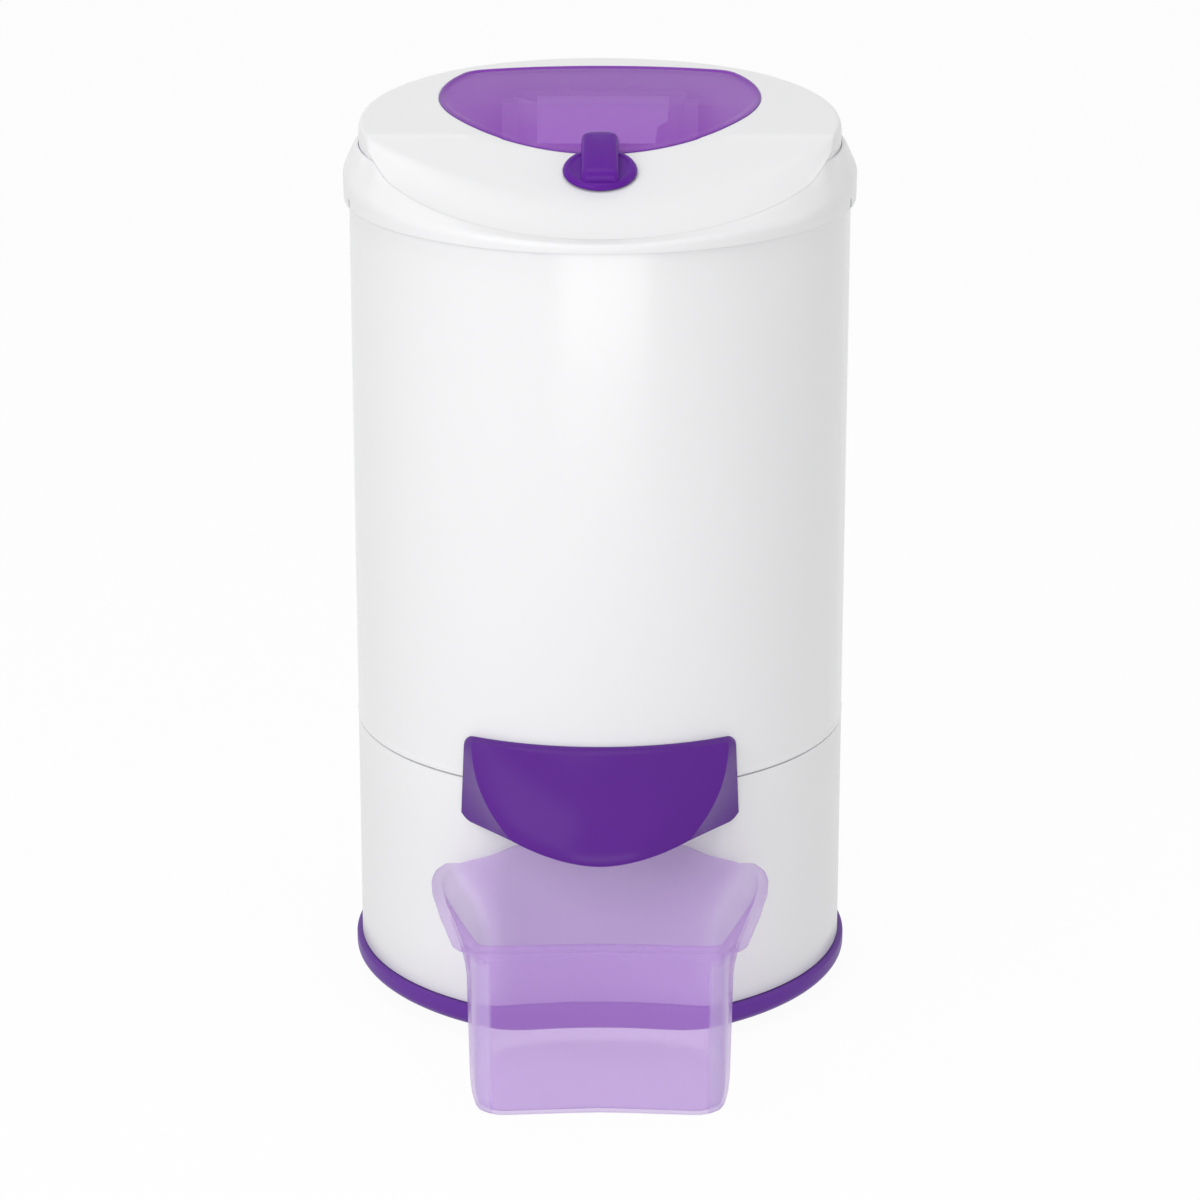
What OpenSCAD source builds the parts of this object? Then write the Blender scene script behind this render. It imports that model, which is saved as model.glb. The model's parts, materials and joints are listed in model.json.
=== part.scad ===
// Laundry spin dryer: a round casing with a hinged lid, a spun drum in a fixed tub,
// a drum brake worked by the lid lock, and a loose container that takes the water.
// The drum axis is upright. +Z is up, the front is at -Y, and z = 0 is the floor.

/* [Casing] */
// Outer radius of the casing
body_r = 170; // [166:1:176]
// Height of the lower casing, from the base to the middle seam
lower_h = 165; // [155:1:175]
// Height of the upper casing sheet
upper_h = 376.5; // [360:0.5:400]
// Thickness of the upper casing sheet
sheet_t = 1.2; // [0.8:0.1:1.6]
// Wall of the moulded lower casing
lower_t = 2.5; // [2:0.1:3]

/* [Base] */
// Height of the rubber feet
foot_h = 6; // [4:0.5:8]
// Radius of a rubber foot
foot_r = 14; // [11:1:16]
// Circle that the feet stand on
foot_circle_r = 132; // [120:1:138]
// Height of the base above the feet
base_h = 19; // [17:1:24]
// How far the base and the collar stand out past the casing
lip = 4; // [3:0.5:6]
// Wall of the base
base_t = 3; // [2.5:0.5:4]

/* [Front recess] */
// Depth of the recess, from the front of the casing
recess_depth = 27; // [26:0.5:30]
// Half of the width of the recess
recess_half_w = 76; // [72:1:80]

/* [Drain hood and spout] */
// Half of the width of the hood
hood_half_w = 88; // [84:1:94]
// How far the hood stands out at its nose
hood_reach = 47; // [42:1:52]
// Height of the hood above the middle seam
hood_rise = 30; // [22:1:36]
// Depth of the hood below the middle seam
hood_drop = 35; // [30:1:40]
// Wall of the hood
hood_t = 2.5; // [2:0.5:3]
// Outer radius of the spout
spout_r = 8; // [7:0.5:9]
// Wall of the spout
spout_t = 1.5; // [1.2:0.1:2]

/* [Container] */
// How far the container stands out in front of the casing
container_reach = 105; // [90:1:115]
// Height of the rim above the floor
rim_h = 121; // [110:1:125]
// Half of the width of the rim at its front
rim_front_w = 80; // [76:1:86]
// Half of the width of the rim at its ears
rim_ear_w = 104; // [100:1:110]
// Half of the width of the container's floor
floor_half_w = 84; // [80:1:88]
// Wall of the container
container_t = 2.2; // [1.8:0.1:2.6]
// How far the back wall rises above the rim
splash_h = 14; // [10:1:16]

/* [Top collar] */
// How far the collar laps over the casing sheet
collar_lap = 8; // [6:0.5:10]
// Height of the shoulder above the top of the casing sheet
shoulder_h = 29; // [25:1:32]
// Depth of the lid's seat below the top of the casing sheet
deck_drop = 2; // [1:0.5:3]
// How much wider the mouth is than the mouth of the drum
mouth_gap = 5.5; // [4:0.5:7]
// Depth of the mouth below the lid seat
mouth_depth = 38; // [34:1:42]
// Wall of the collar
collar_t = 2.5; // [2:0.5:3]

/* [Lid] */
// Gap round the lid
lid_gap = 1.5; // [1.3:0.1:2.5]
// Height of the lid at its crease, above its seat
crease_h = 45; // [42:1:48]
// Distance of the crease behind the lock shaft
crease_back = 46; // [42:1:50]
// Slope of the front of the lid, in degrees
slope = 18.5; // [16:0.5:19]
// Rise of the rear of the lid, in degrees
rear_slope = 4.5; // [2:0.5:5]
// Fillet round the top of the lid
lid_fillet = 20; // [14:1:24]
// Wall of the lid
lid_t = 2.5; // [2:0.1:3]
// How much smaller the window's round edge is than the lid
window_border = 51.8; // [46:0.1:58]
// How far back the window's centre lies
window_y = 42; // [36:1:46]
// Distance of the window's straight rear edge from the rear of the lid
window_rear = 47.8; // [44:0.1:56]

/* [Lock] */
// Radius of the knob's disc
knob_r = 23.5; // [22:0.5:26]
// Distance of the lock shaft behind the front of the mouth
knob_inset = 20.5; // [19:0.5:22]
// Width of the knob's lever
lever_w = 23; // [18:1:26]
// Length of the knob's lever
lever_len = 52; // [46:1:56]
// How far the lever reaches in front of the shaft
lever_front = 18; // [16:1:21]
// Height of the knob's lever
lever_h = 14; // [12:1:18]
// Radius of the lock shaft
latch_r = 6; // [5:0.5:7]
// How far the tongue reaches past the wall of the mouth
tongue_reach = 8; // [7:0.5:9]
// Travel of the switch plunger
plunger_travel = 4.3; // [4:0.1:4.5]

/* [Tub and drum] */
// Gap between the tub and the casing
tub_gap = 12; // [10:0.5:14]
// Wall of the tub
tub_t = 2; // [1.5:0.1:2.5]
// Gap between the drum and the tub
drum_gap = 28; // [24:1:34]
// Thickness of the drum's sheet
drum_t = 1; // [0.8:0.1:1.5]
// Width of the rim round the drum's mouth
drum_lip = 24; // [20:1:28]
// Radius of a hole in the drum
drum_hole_r = 3; // [2:0.5:4]
// Rows of holes in the drum
drum_rows = 5; // [3:1:7]
// Holes in a row
drum_holes = 16; // [12:1:24]

/* [Motor and brake] */
// Radius of the drum shaft
shaft_r = 8.45; // [8:0.05:9]
// Outer radius of a ball bearing
bearing_r = 20; // [19:0.5:22]
// Height of a ball bearing
bearing_h = 12; // [10:1:14]
// Outer radius of the motor
motor_r = 61; // [58:1:66]
// Height of the stator's laminations
stator_h = 40; // [34:1:42]
// Height of the rubber mounts
mount_h = 52; // [48:1:54]
// Gap between the motor and the rubber mounts
mount_gap = 18; // [15:1:21]
// Radius of a rubber mount
mount_r = 16; // [14:1:18]
// Radius of the brake drum
brake_r = 38; // [34:1:40]
// Angle that the brake lever swings, in degrees
brake_swing = 6; // [4:0.5:6]

/* [Hidden] */
$fn = 96;

white = [0.93, 0.93, 0.94];
purple = [0.38, 0.20, 0.60];
deep_purple = [0.33, 0.15, 0.55];
window_purple = [0.58, 0.38, 0.74, 0.8];
lilac = [0.76, 0.68, 0.86, 0.7];
steel = [0.75, 0.76, 0.78];
zinc = [0.62, 0.64, 0.66];
rubber = [0.12, 0.12, 0.13];
grey_plastic = [0.55, 0.56, 0.58];
copper = [0.72, 0.42, 0.22];

cut = 1;           // overshoot of a cutting tool
seat_gap = 0.1;    // gap between fixed parts that fit round each other
run_gap = 0.05;    // radial gap of a running fit
rest_gap = 0.3;    // gap between parts that rest on each other and move apart

// Places up the drum axis
z_base = foot_h + base_h;            // foot of the casing
z_seam = z_base + lower_h;           // middle seam
z_top = z_seam + upper_h;            // top of the casing sheet
z_deck = z_top - deck_drop;          // seat of the lid
z_lid = z_deck + rest_gap;           // lower edge of the lid
z_crease = z_deck + crease_h;
z_mouth = z_deck - mouth_depth;      // lower edge of the mouth
z_cover = z_mouth + 7;               // tub cover
z_tub = z_seam + 8;                  // underside of the tub
z_pan = foot_h + base_t;             // inner floor of the base

// Tub, drum and mouth, from the casing inwards
tub_r = body_r - tub_gap;
drum_r = tub_r - drum_gap;
drum_mouth_r = drum_r - drum_lip;
mouth_r = drum_mouth_r + mouth_gap;

// Front recess: an upright arc that cuts the front of the casing
recess_y = body_r - recess_depth;
recess_sag = sqrt(pow(body_r, 2) - pow(recess_half_w, 2)) - recess_y;
recess_r = (pow(recess_half_w, 2) + pow(recess_sag, 2)) / (2 * recess_sag);
recess_centre = recess_y + recess_r;

// Ring that joins the two halves of the casing
seam_ledge = 18;
seam_wall = 2.7;
seam_skirt = 12;
seam_notch = 33;

// Footprint: the container's rim in front, the collar behind
front_reach = body_r + container_reach;
back_reach = body_r + lip;
axis_y = (front_reach - back_reach) / 2;

// Container
rim_roll = 3;      // how far the rolled rim stands out
ear_t = 2;         // thickness of an ear's skirt
ear_drop = 22;     // height of an ear's skirt
rear_gap = 0.4;    // gap between the container and the base

// Base
base_r = body_r + lip;
base_round = 18;   // how far the lower edge of the base is rounded in
base_floor_r = base_r - base_round;
base_lip_h = base_h - 8;
boss_h = 6;
foot_screw_r = 2;
foot_head_r = 5;

// Top collar and lid
seat_r = body_r - 6.7;
lid_r = seat_r - lid_gap;
shoulder_r = seat_r + collar_t;
band_h = 12;       // height of the collar's upright band above the casing sheet
lid_top_h = 59.5;
window_r = lid_r - window_border;
window_rear_y = lid_r - window_rear;
hinge_r = 7;
hinge_y = back_reach - hinge_r;
hinge_z = z_top + shoulder_h + hinge_r + rest_gap;
hinge_pin_r = 3;
hinge_x = 20;
hinge_lug_w = 10;
hinge_ear_w = 8;

// Lock: distances below the lid's slope, along the lock shaft
knob_y = mouth_r - knob_inset;
crease_y = knob_y - crease_back;
z_knob = z_crease - (knob_y - crease_y) * tan(slope);
tongue_top = 36;
lock_tube = 40;    // length of the tube that the shaft runs in
tongue_t = 3;
tongue_w = 12;
latch_y = knob_y - (tongue_top + tongue_t / 2) * sin(slope);
latch_z = z_knob - (tongue_top + tongue_t / 2) * cos(slope);
tip_y = mouth_r + collar_t + tongue_reach;
tongue_len = (tip_y - latch_y) / cos(slope);
tip_z = latch_z - tongue_len * sin(slope);
slot_z0 = tip_z - 6;
slot_z1 = tip_z + 8;
slot_x0 = -14;
slot_x1 = 46;
keeper_t = 2.4;
keeper_reach = 20;
plunger_r = 3;
housing_y0 = tip_y + 1.5;
housing_y1 = housing_y0 + 26;
housing_half_w = 14;
plug_r = mouth_r - 4.5;
plug_t = 3;
plug_z = z_deck - 9;

// Spout: a straight slanted tube from the tub's floor to the hood
spout_top = [0, -(tub_r - 22), z_tub + 10];
spout_end = [0, -(body_r + 8), z_seam - 26];
spout_run = spout_end - spout_top;
spout_tilt = atan2(-spout_run[1], -spout_run[2]);
spout_len = norm(spout_run);

// Hood
z_hood0 = z_seam - hood_drop;
z_hood1 = z_seam + hood_rise;

// Motor, from the base upwards
z_mount = z_pan + boss_h;
z_plate = z_mount + mount_h;
plate_t = 3;
z_motor = z_plate + plate_t;
cap_h = 17;
cap_t = 4;
z_stator = z_motor + cap_h;
z_upper_cap = z_stator + stator_h;
z_tower = z_upper_cap + cap_h;
tower_rise = 12;
z_tower_top = z_tub + tower_rise;
tower_r = bearing_r + 6;
bearing_bore = shaft_r + run_gap;
stator_bore = 32.6;
rotor_r = 32;
z_drum = z_tower_top + 8;
z_drum_top = z_mouth - 5;
hub_r = 30;
hub_h = 8;
nut_h = 9;
rim_skirt = 10;
shaft_z0 = z_pan + 16;
z_brake = shaft_z0 + 4;
brake_h = 18;
mount_angles = [30, 150, 270];
mount_circle_r = motor_r + mount_gap + mount_r;
bolt_r = 4;
seal_hole_r = 40;

// Brake lever and its cable
lever_x = brake_r + 12;
lever_pivot_y = 42;
lever_end_y = -60;
lever_boss_r = 7;
lever_bar_w = 6;
lever_z = z_brake + 4;
lever_bar_h = 8;
pad_half_w = 12;
pivot_r = 3;
cable_r = 2.5;
guide_r = cable_r + 0.8;
cable_ring_r = (tub_r + body_r - sheet_t) / 2;
cable_angle = -25;
cable_x = cable_ring_r * cos(cable_angle);
cable_y = cable_ring_r * sin(cable_angle);
cable_low_z = lever_z + lever_bar_h / 2;
cable_high_z = z_cover + 10;
cable_stop_x = lever_x + 16;

capacitor_r = 17.5;
capacitor_h = 62;
capacitor_at = [-95, -55];

gland_r = 7;
gland_z = z_base + 26;

// Puts a part that is drawn round the drum axis in its place over the footprint
module on_axis() { translate([0, axis_y, 0]) children(); }

// Upright ring from z0 to z1
module ring(r_out, r_in, z0, z1) {
    translate([0, 0, z0]) difference() {
        cylinder(r = r_out, h = z1 - z0);
        translate([0, 0, -cut]) cylinder(r = r_in, h = z1 - z0 + 2 * cut);
    }
}

// Upright disc from z0 to z1
module disc(r, z0, z1) { translate([0, 0, z0]) cylinder(r = r, h = z1 - z0); }

// Copies at the three rubber mounts
module at_mounts() {
    for (a = mount_angles) rotate([0, 0, a]) translate([mount_circle_r, 0, 0]) children();
}

// Copies at the four feet
module at_feet() {
    for (a = [45:90:315]) rotate([0, 0, a]) translate([foot_circle_r, 0, 0]) children();
}

// Plan of the front recess, grown by grow
module recess_plan(grow) {
    translate([0, -recess_centre]) circle(r = recess_r + grow, $fn = 180);
}

// Plan of the casing with its recess, drawn in by inset
module casing_plan(inset) {
    difference() {
        circle(r = body_r - inset);
        recess_plan(inset);
    }
}

// Base bowl, drawn in by inset, up to height top
module bowl(inset, top) {
    rotate_extrude() polygon(concat(
        [[0, foot_h + inset]],
        [for (a = [0:15:90]) [
            base_floor_r + (base_r - inset - base_floor_r) * sin(a),
            foot_h + inset + (base_lip_h - inset) * (1 - cos(a))
        ]],
        [[body_r + (inset > 0 ? -lower_t - 2 : 1), z_base - (inset > 0 ? 6 : 0)],
         [body_r + (inset > 0 ? -lower_t - 2 : 1), top], [0, top]]
    ));
}

module base_pan() on_axis() color(purple) difference() {
    union() {
        difference() {
            difference() {
                bowl(0, z_base);
                translate([0, 0, -cut]) linear_extrude(z_base + 2 * cut) recess_plan(-lip);
            }
            difference() {
                bowl(base_t, z_base + cut);
                linear_extrude(z_base + 2 * cut) recess_plan(lower_t + 2);
            }
        }
        at_mounts() disc(mount_r + 2, z_pan - cut, z_mount);
        at_feet() disc(foot_head_r + 2, z_pan - cut, z_pan + boss_h);
    }
    at_mounts() disc(bolt_r + seat_gap, z_pan, z_mount + cut);
    at_feet() disc(foot_screw_r + seat_gap, 0, z_pan + boss_h + cut);
}

module foot_pads() on_axis() color(rubber) at_feet() difference() {
    disc(foot_r, 0, foot_h);
    disc(foot_screw_r + seat_gap, -cut, foot_h + cut);
    disc(foot_head_r + seat_gap, -cut, foot_h / 2);
}

module foot_screws() on_axis() color(zinc) at_feet() {
    disc(foot_head_r, foot_h / 2 - 1.5, foot_h / 2);
    disc(foot_screw_r, foot_h / 2, z_pan + boss_h - 1);
}

// Slanted cylinder along the spout
module along_spout(r, extra) {
    translate(spout_top) rotate([-spout_tilt, 0, 0]) rotate([180, 0, 0])
        translate([0, 0, -extra]) cylinder(r = r, h = spout_len + 2 * extra);
}

module lower_shell() on_axis() color(white) difference() {
    union() {
        translate([0, 0, z_base]) linear_extrude(lower_h) difference() {
            casing_plan(0);
            casing_plan(lower_t);
        }
        translate([0, 0, z_seam - lower_t]) linear_extrude(lower_t) intersection() {
            circle(r = body_r);
            recess_plan(lower_t);
        }
    }
    along_spout(spout_r + seat_gap, 0);
    translate([0, body_r + cut, gland_z]) rotate([90, 0, 0])
        cylinder(r = gland_r + seat_gap, h = lower_t + 4);
}

module upper_shell() on_axis() color(white) difference() {
    ring(body_r, body_r - sheet_t, z_seam, z_top);
    at_ring_screws() cylinder(r = 1.7, h = 2 * lip + 4, center = true);
}

module seam_ring() on_axis() color(grey_plastic) difference() {
    union() {
        ring(body_r - lower_t - 0.2, tub_r - seam_ledge, z_tub - 3, z_tub);
        ring(body_r - lower_t - 0.2, body_r - lower_t - seam_wall, z_seam - seam_skirt, z_tub);
    }
    translate([-recess_half_w - seam_ledge / 2, -body_r, z_seam - seam_skirt - cut])
        cube([2 * recess_half_w + seam_ledge, recess_depth + seam_notch, seam_skirt + cut + rest_gap]);
    along_spout(spout_r + 1, 0);
    translate([cable_x, cable_y, z_seam - 20]) cylinder(r = cable_r + 0.7, h = 40);
}

// Plan of the hood's lower edge, from its left end to its right end, drawn in by inset
function hood_side(inset) = [
    [hood_half_w - inset, -(body_r - 20)],
    [57 - inset, -(body_r + 9 - inset)],
    [41 - inset / 2, -(body_r + hood_reach - 20 - inset)],
    [24, -(body_r + hood_reach - 6 - inset)],
    [0, -(body_r + hood_reach - inset)]
];
module hood_plan(inset) {
    half = hood_side(inset);
    polygon(concat([[hood_half_w - inset, -recess_y]], half,
        [for (i = [3:-1:0]) [-half[i][0], half[i][1]]], [[-hood_half_w + inset, -recess_y]]));
}

// Solid under the hood's skin, drawn in by inset
module hood_solid(inset) {
    hull() {
        translate([0, 0, z_hood0 - (inset > 0 ? cut : 0)]) linear_extrude(1.5) hood_plan(inset);
        translate([0, 0, z_hood1 - inset - 3]) intersection() {
            cylinder(r = body_r + 5 - inset, h = 3, $fn = 72);
            translate([-hood_half_w + inset, -body_r - 10, 0]) cube([2 * (hood_half_w - inset), body_r, 3]);
        }
    }
}

module drain_hood() on_axis() color(deep_purple) difference() {
    hood_solid(0);
    hood_solid(hood_t);
    disc(body_r + 0.15, z_hood0 - 2 * cut, z_hood1 + cut);
}

module drain_outlet() on_axis() color(grey_plastic) difference() {
    intersection() {
        along_spout(spout_r, 0);
        disc(body_r + hood_reach, z_hood0, z_tub + tub_t);
    }
    along_spout(spout_r - spout_t, cut);
}

// Plan of the container at its floor and at its rim, drawn in by inset
module floor_plan(inset) {
    front = front_reach - 2;
    w = floor_half_w;
    offset(delta = -inset) polygon([
        [-w + 14, -front], [0, -front + 3], [w - 14, -front], [w - 4, -front + 22], [w, -front + 50],
        [w - 2, -body_r - 28], [w - 8, -body_r - 10], [w - 22, 6 - body_r], [w - 44, 16 - body_r],
        [0, 30 - body_r], [-w + 44, 16 - body_r], [-w + 22, 6 - body_r], [-w + 8, -body_r - 10],
        [-w + 2, -body_r - 28], [-w, -front + 50], [-w + 4, -front + 22]
    ]);
}
module rim_plan(inset) {
    front = front_reach - rim_roll;
    w = rim_ear_w;
    offset(delta = -inset) polygon([
        [-rim_front_w + 3, -front], [0, -front + 4], [rim_front_w - 3, -front],
        [rim_front_w, -front + 4], [w, -body_r - 22], [w + 1, -body_r - 10], [w - 1, 4 - body_r],
        [w - 9, 30 - body_r], [0, 40 - body_r], [-w + 9, 30 - body_r],
        [-w + 1, 4 - body_r], [-w - 1, -body_r - 10], [-w, -body_r - 22],
        [-rim_front_w, -front + 4]
    ]);
}

// Space behind the container: the casing with its lip, grown by gap
module behind_container(gap) {
    difference() {
        disc(base_r + gap, -cut, rim_h + 40);
        translate([0, 0, -2 * cut]) linear_extrude(rim_h + 50) recess_plan(-lip - gap);
    }
}

// Solid between the two plans, drawn in by inset
module container_solid(inset) {
    difference() {
        hull() {
            translate([0, 0, inset]) linear_extrude(1) floor_plan(inset + 5);
            translate([0, 0, inset + 5]) linear_extrude(1) floor_plan(inset);
            translate([0, 0, rim_h - 1 + (inset > 0 ? 2 : 0)]) linear_extrude(1) rim_plan(inset + 1);
        }
        behind_container(rear_gap + inset);
    }
}

// Band round the two ears, from height low to the rim, starting grow outside the rim's plan
module ear_band(low, grow) {
    translate([0, 0, low]) linear_extrude(rim_h - low) intersection() {
        difference() {
            rim_plan(-rim_roll - ear_t);
            rim_plan(-grow);
        }
        translate([-rim_ear_w - 30, -body_r - 35]) square([2 * rim_ear_w + 60, 45]);
    }
}

module container() on_axis() color(lilac) union() {
    difference() {
        container_solid(0);
        container_solid(container_t);
    }
    // Rolled rim with its ears
    difference() {
        translate([0, 0, rim_h - 5]) linear_extrude(5) difference() {
            rim_plan(-rim_roll);
            rim_plan(container_t);
        }
        behind_container(rear_gap);
    }
    ear_band(rim_h - 3, 0);
    // Skirts that hang from the ears
    ear_band(rim_h - ear_drop, rim_roll);
    // Raised back wall under the hood
    intersection() {
        difference() {
            behind_container(rear_gap + container_t);
            behind_container(rear_gap);
        }
        translate([0, 60 - body_r, rim_h]) rotate([90, 0, 0]) linear_extrude(90) polygon([
            [12 - rim_ear_w, -5], [rim_ear_w - 12, -5], [rim_ear_w - 12, 0],
            [rim_ear_w - 42, splash_h], [42 - rim_ear_w, splash_h], [12 - rim_ear_w, 0]
        ]);
    }
}

// Section of the collar
function collar_section() = [
    [body_r + 0.3, z_top - collar_lap], [base_r, z_top - collar_lap],
    [base_r, z_top + band_h], [shoulder_r, z_top + shoulder_h], [seat_r, z_top + shoulder_h],
    [seat_r, z_deck], [mouth_r, z_deck], [mouth_r, z_mouth], [mouth_r + collar_t, z_mouth],
    [mouth_r + collar_t, z_deck - collar_t], [shoulder_r, z_deck - collar_t],
    [shoulder_r, z_top + shoulder_h - 3.7], [base_r - collar_t, z_top + band_h - 0.8],
    [base_r - collar_t, z_top + 2.5], [body_r - 3.5, z_top + 2.5], [body_r - 3.5, z_top],
    [body_r + 0.3, z_top]
];

// Copies across the collar's two side screws, along their axes
module at_ring_screws() {
    for (side = [-1, 1]) rotate([0, 0, -90 + side * 75])
        translate([base_r, 0, z_top - collar_lap / 2 + 0.2]) rotate([0, 90, 0]) children();
}

// Ears of the hinge: the lid's lugs stand between them
module hinge_blocks(x0, w, reach) {
    for (side = [-1, 1]) translate([side * (x0 + w / 2), hinge_y, hinge_z]) {
        rotate([0, 90, 0]) cylinder(r = hinge_r, h = w, center = true);
        translate([-w / 2, -reach[0], -reach[1]]) cube([w, reach[0] + reach[2], reach[1]]);
    }
}

module top_ring() on_axis() color(white) difference() {
    union() {
        difference() {
            rotate_extrude($fn = 180) polygon(collar_section());
            // The front of the shoulder slopes down with the lid
            translate([0, -body_r, z_top + 2]) rotate([22, 0, 0])
                translate([-body_r - 30, -60, 0]) cube([2 * body_r + 60, body_r + 50, 80]);
        }
        difference() {
            hinge_blocks(hinge_x + hinge_lug_w + 0.4, hinge_ear_w, [4.5, 2 * hinge_r, 4]);
            ring(shoulder_r - collar_t + 0.1, 100, z_deck, hinge_z + 20);
        }
    }
    translate([-60, hinge_y, hinge_z]) rotate([0, 90, 0]) cylinder(r = hinge_pin_r + 0.02, h = 120);
    at_ring_screws() cylinder(r = 1.7, h = 20, center = true);
    at_ring_screws() translate([0, 0, -2.2]) cylinder(r = 3.6, h = 10);
    translate([slot_x0, -mouth_r - 8, slot_z0]) cube([slot_x1 - slot_x0, 30, slot_z1 - slot_z0]);
}

module ring_screws() on_axis() color(zinc) at_ring_screws() {
    translate([0, 0, -2.1]) cylinder(r = 3.4, h = 1.6);
    translate([0, 0, -10]) cylinder(r = 1.6, h = 8);
}

// Carries a part onto the sloped front of the lid, with z along the lock shaft
module on_slope() {
    translate([0, -knob_y, z_knob]) rotate([slope, 0, 0]) children();
}

// Outer form of the lid, drawn in by inset
module lid_solid(inset) {
    low = z_lid - (inset > 0 ? cut : 0);
    top = z_deck + lid_top_h - inset;
    difference() {
        rotate_extrude($fn = 180) union() {
            translate([0, low]) square([lid_r - lid_fillet, top - low]);
            translate([0, low]) square([lid_r - inset, top - lid_fillet + inset - low]);
            translate([lid_r - lid_fillet, top - lid_fillet + inset]) circle(r = lid_fillet - inset);
        }
        translate([0, -crease_y, z_crease]) rotate([slope, 0, 0])
            translate([-body_r - 30, -body_r - 30, -inset])
                cube([2 * body_r + 60, body_r + 110, 120]);
        translate([0, -crease_y, z_crease]) rotate([rear_slope, 0, 0])
            translate([-body_r - 30, -60, -inset]) cube([2 * body_r + 60, body_r + 190, 120]);
    }
}

// Upright prism of the window, grown by grow
module window_prism(grow) {
    translate([0, 0, z_deck + 4]) linear_extrude(80) intersection() {
        translate([0, window_y]) circle(r = window_r + grow, $fn = 180);
        translate([-lid_r, -lid_r]) square([2 * lid_r, lid_r + window_rear_y + grow]);
    }
}

module lid_shell() on_axis() color(white) difference() {
    union() {
        difference() {
            lid_solid(0);
            lid_solid(lid_t);
            window_prism(0.1);
        }
        difference() {
            hinge_blocks(hinge_x, hinge_lug_w, [11, 5.5, 0]);
            disc(lid_r - 1, z_lid, z_lid + 60);
        }
    }
    translate([-60, hinge_y, hinge_z]) rotate([0, 90, 0]) cylinder(r = hinge_pin_r + run_gap, h = 120);
    on_slope() cylinder(r = latch_r + seat_gap, h = 30, center = true);
}

module lid_window() on_axis() color(window_purple) intersection() {
    difference() {
        lid_solid(0);
        lid_solid(lid_t);
    }
    window_prism(0);
}

module lid_liner() on_axis() color(white) difference() {
    union() {
        disc(lid_r - lid_t - 0.2, z_lid, z_lid + 2.5);
        ring(plug_r, plug_r - plug_t, plug_z, z_lid + 1);
        intersection() {
            on_slope() translate([0, 0, -lock_tube])
                cylinder(r = latch_r + 3, h = lock_tube - lid_t - 0.2);
            disc(lid_r, z_lid, z_lid + 60);
        }
    }
    on_slope() cylinder(r = latch_r + run_gap, h = 120, center = true);
}

module hinge_pin() on_axis() color(steel) {
    half = hinge_x + hinge_lug_w + 0.4 + hinge_ear_w;
    translate([-half, hinge_y, hinge_z]) rotate([0, 90, 0]) cylinder(r = hinge_pin_r, h = 2 * half);
}

module knob() on_axis() color(deep_purple) on_slope() {
    translate([0, 0, rest_gap]) cylinder(r1 = knob_r, r2 = knob_r - 2, h = 4);
    hull() {
        for (x = [-1, 1], y = [0, 1]) {
            translate([x * (lever_w / 2 - 5), y * (lever_len - 10) + 5 - lever_front, rest_gap + 1])
                cylinder(r = 5, h = lever_h - 4, $fn = 32);
            translate([x * (lever_w / 2 - 5), y * (lever_len - 10) + 5 - lever_front,
                rest_gap + lever_h - 3])
                cylinder(r1 = 4.6, r2 = 3, h = 3, $fn = 32);
        }
    }
}

module latch_shaft() on_axis() color(zinc) on_slope()
    translate([0, 0, -tongue_top]) cylinder(r = latch_r, h = tongue_top + rest_gap);

module latch_tongue() on_axis() color(steel) on_slope()
    translate([0, 0, -tongue_top - tongue_t]) linear_extrude(tongue_t) union() {
        circle(r = latch_r + 3);
        translate([0, -tongue_w / 2]) square([tongue_len - tongue_w / 2, tongue_w]);
        translate([tongue_len - tongue_w / 2, 0]) circle(r = tongue_w / 2);
    }

module latch_keeper() on_axis() color(steel) intersection() {
    ring(mouth_r + collar_t + keeper_t, mouth_r + collar_t + seat_gap, slot_z1 + 0.5, z_deck - collar_t);
    translate([slot_x0 - 4, -mouth_r - keeper_reach, slot_z0])
        cube([slot_x1 - slot_x0 + 8, 2 * keeper_reach, z_deck - slot_z0]);
}

module switch_housing() on_axis() color(grey_plastic) difference() {
    translate([-housing_half_w, -housing_y1, z_cover + 4.5])
        cube([2 * housing_half_w, housing_y1 - housing_y0, z_deck - collar_t - z_cover - 4.5]);
    translate([0, -housing_y0 + cut, tip_z]) rotate([90, 0, 0]) cylinder(r = plunger_r + run_gap, h = 20);
}

module switch_plunger() on_axis() color(rubber)
    translate([0, -tip_y - tongue_t / 2 * sin(slope) - rest_gap + plunger_travel, tip_z]) rotate([90, 0, 0])
        cylinder(r = plunger_r, h = 14);

module tub() on_axis() color(grey_plastic) difference() {
    union() {
        ring(tub_r, tub_r - tub_t, z_tub, z_cover);
        ring(tub_r, seal_hole_r, z_tub, z_tub + tub_t);
        ring(seal_hole_r + tub_t, seal_hole_r, z_tub, z_tub + tower_rise + 2);
    }
    along_spout(spout_r + seat_gap, 0);
}

module tub_cover() on_axis() color(grey_plastic)
    ring(tub_r, mouth_r + collar_t + 4, z_cover, z_cover + 3);

module tub_seal() on_axis() color(rubber)
    ring(mouth_r + collar_t + 4 - seat_gap, mouth_r + collar_t + seat_gap, z_cover - 4, z_cover + 6);

module shaft_seal() on_axis() color(rubber) {
    ring(seal_hole_r - seat_gap, tower_r + seat_gap, z_tub + 6, z_tub + 8);
    ring(tower_r + 3, tower_r + seat_gap, z_tub + 2, z_tub + tower_rise - 1);
    ring(seal_hole_r - seat_gap, seal_hole_r - 3, z_tub + 2, z_tub + tower_rise);
}

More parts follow.
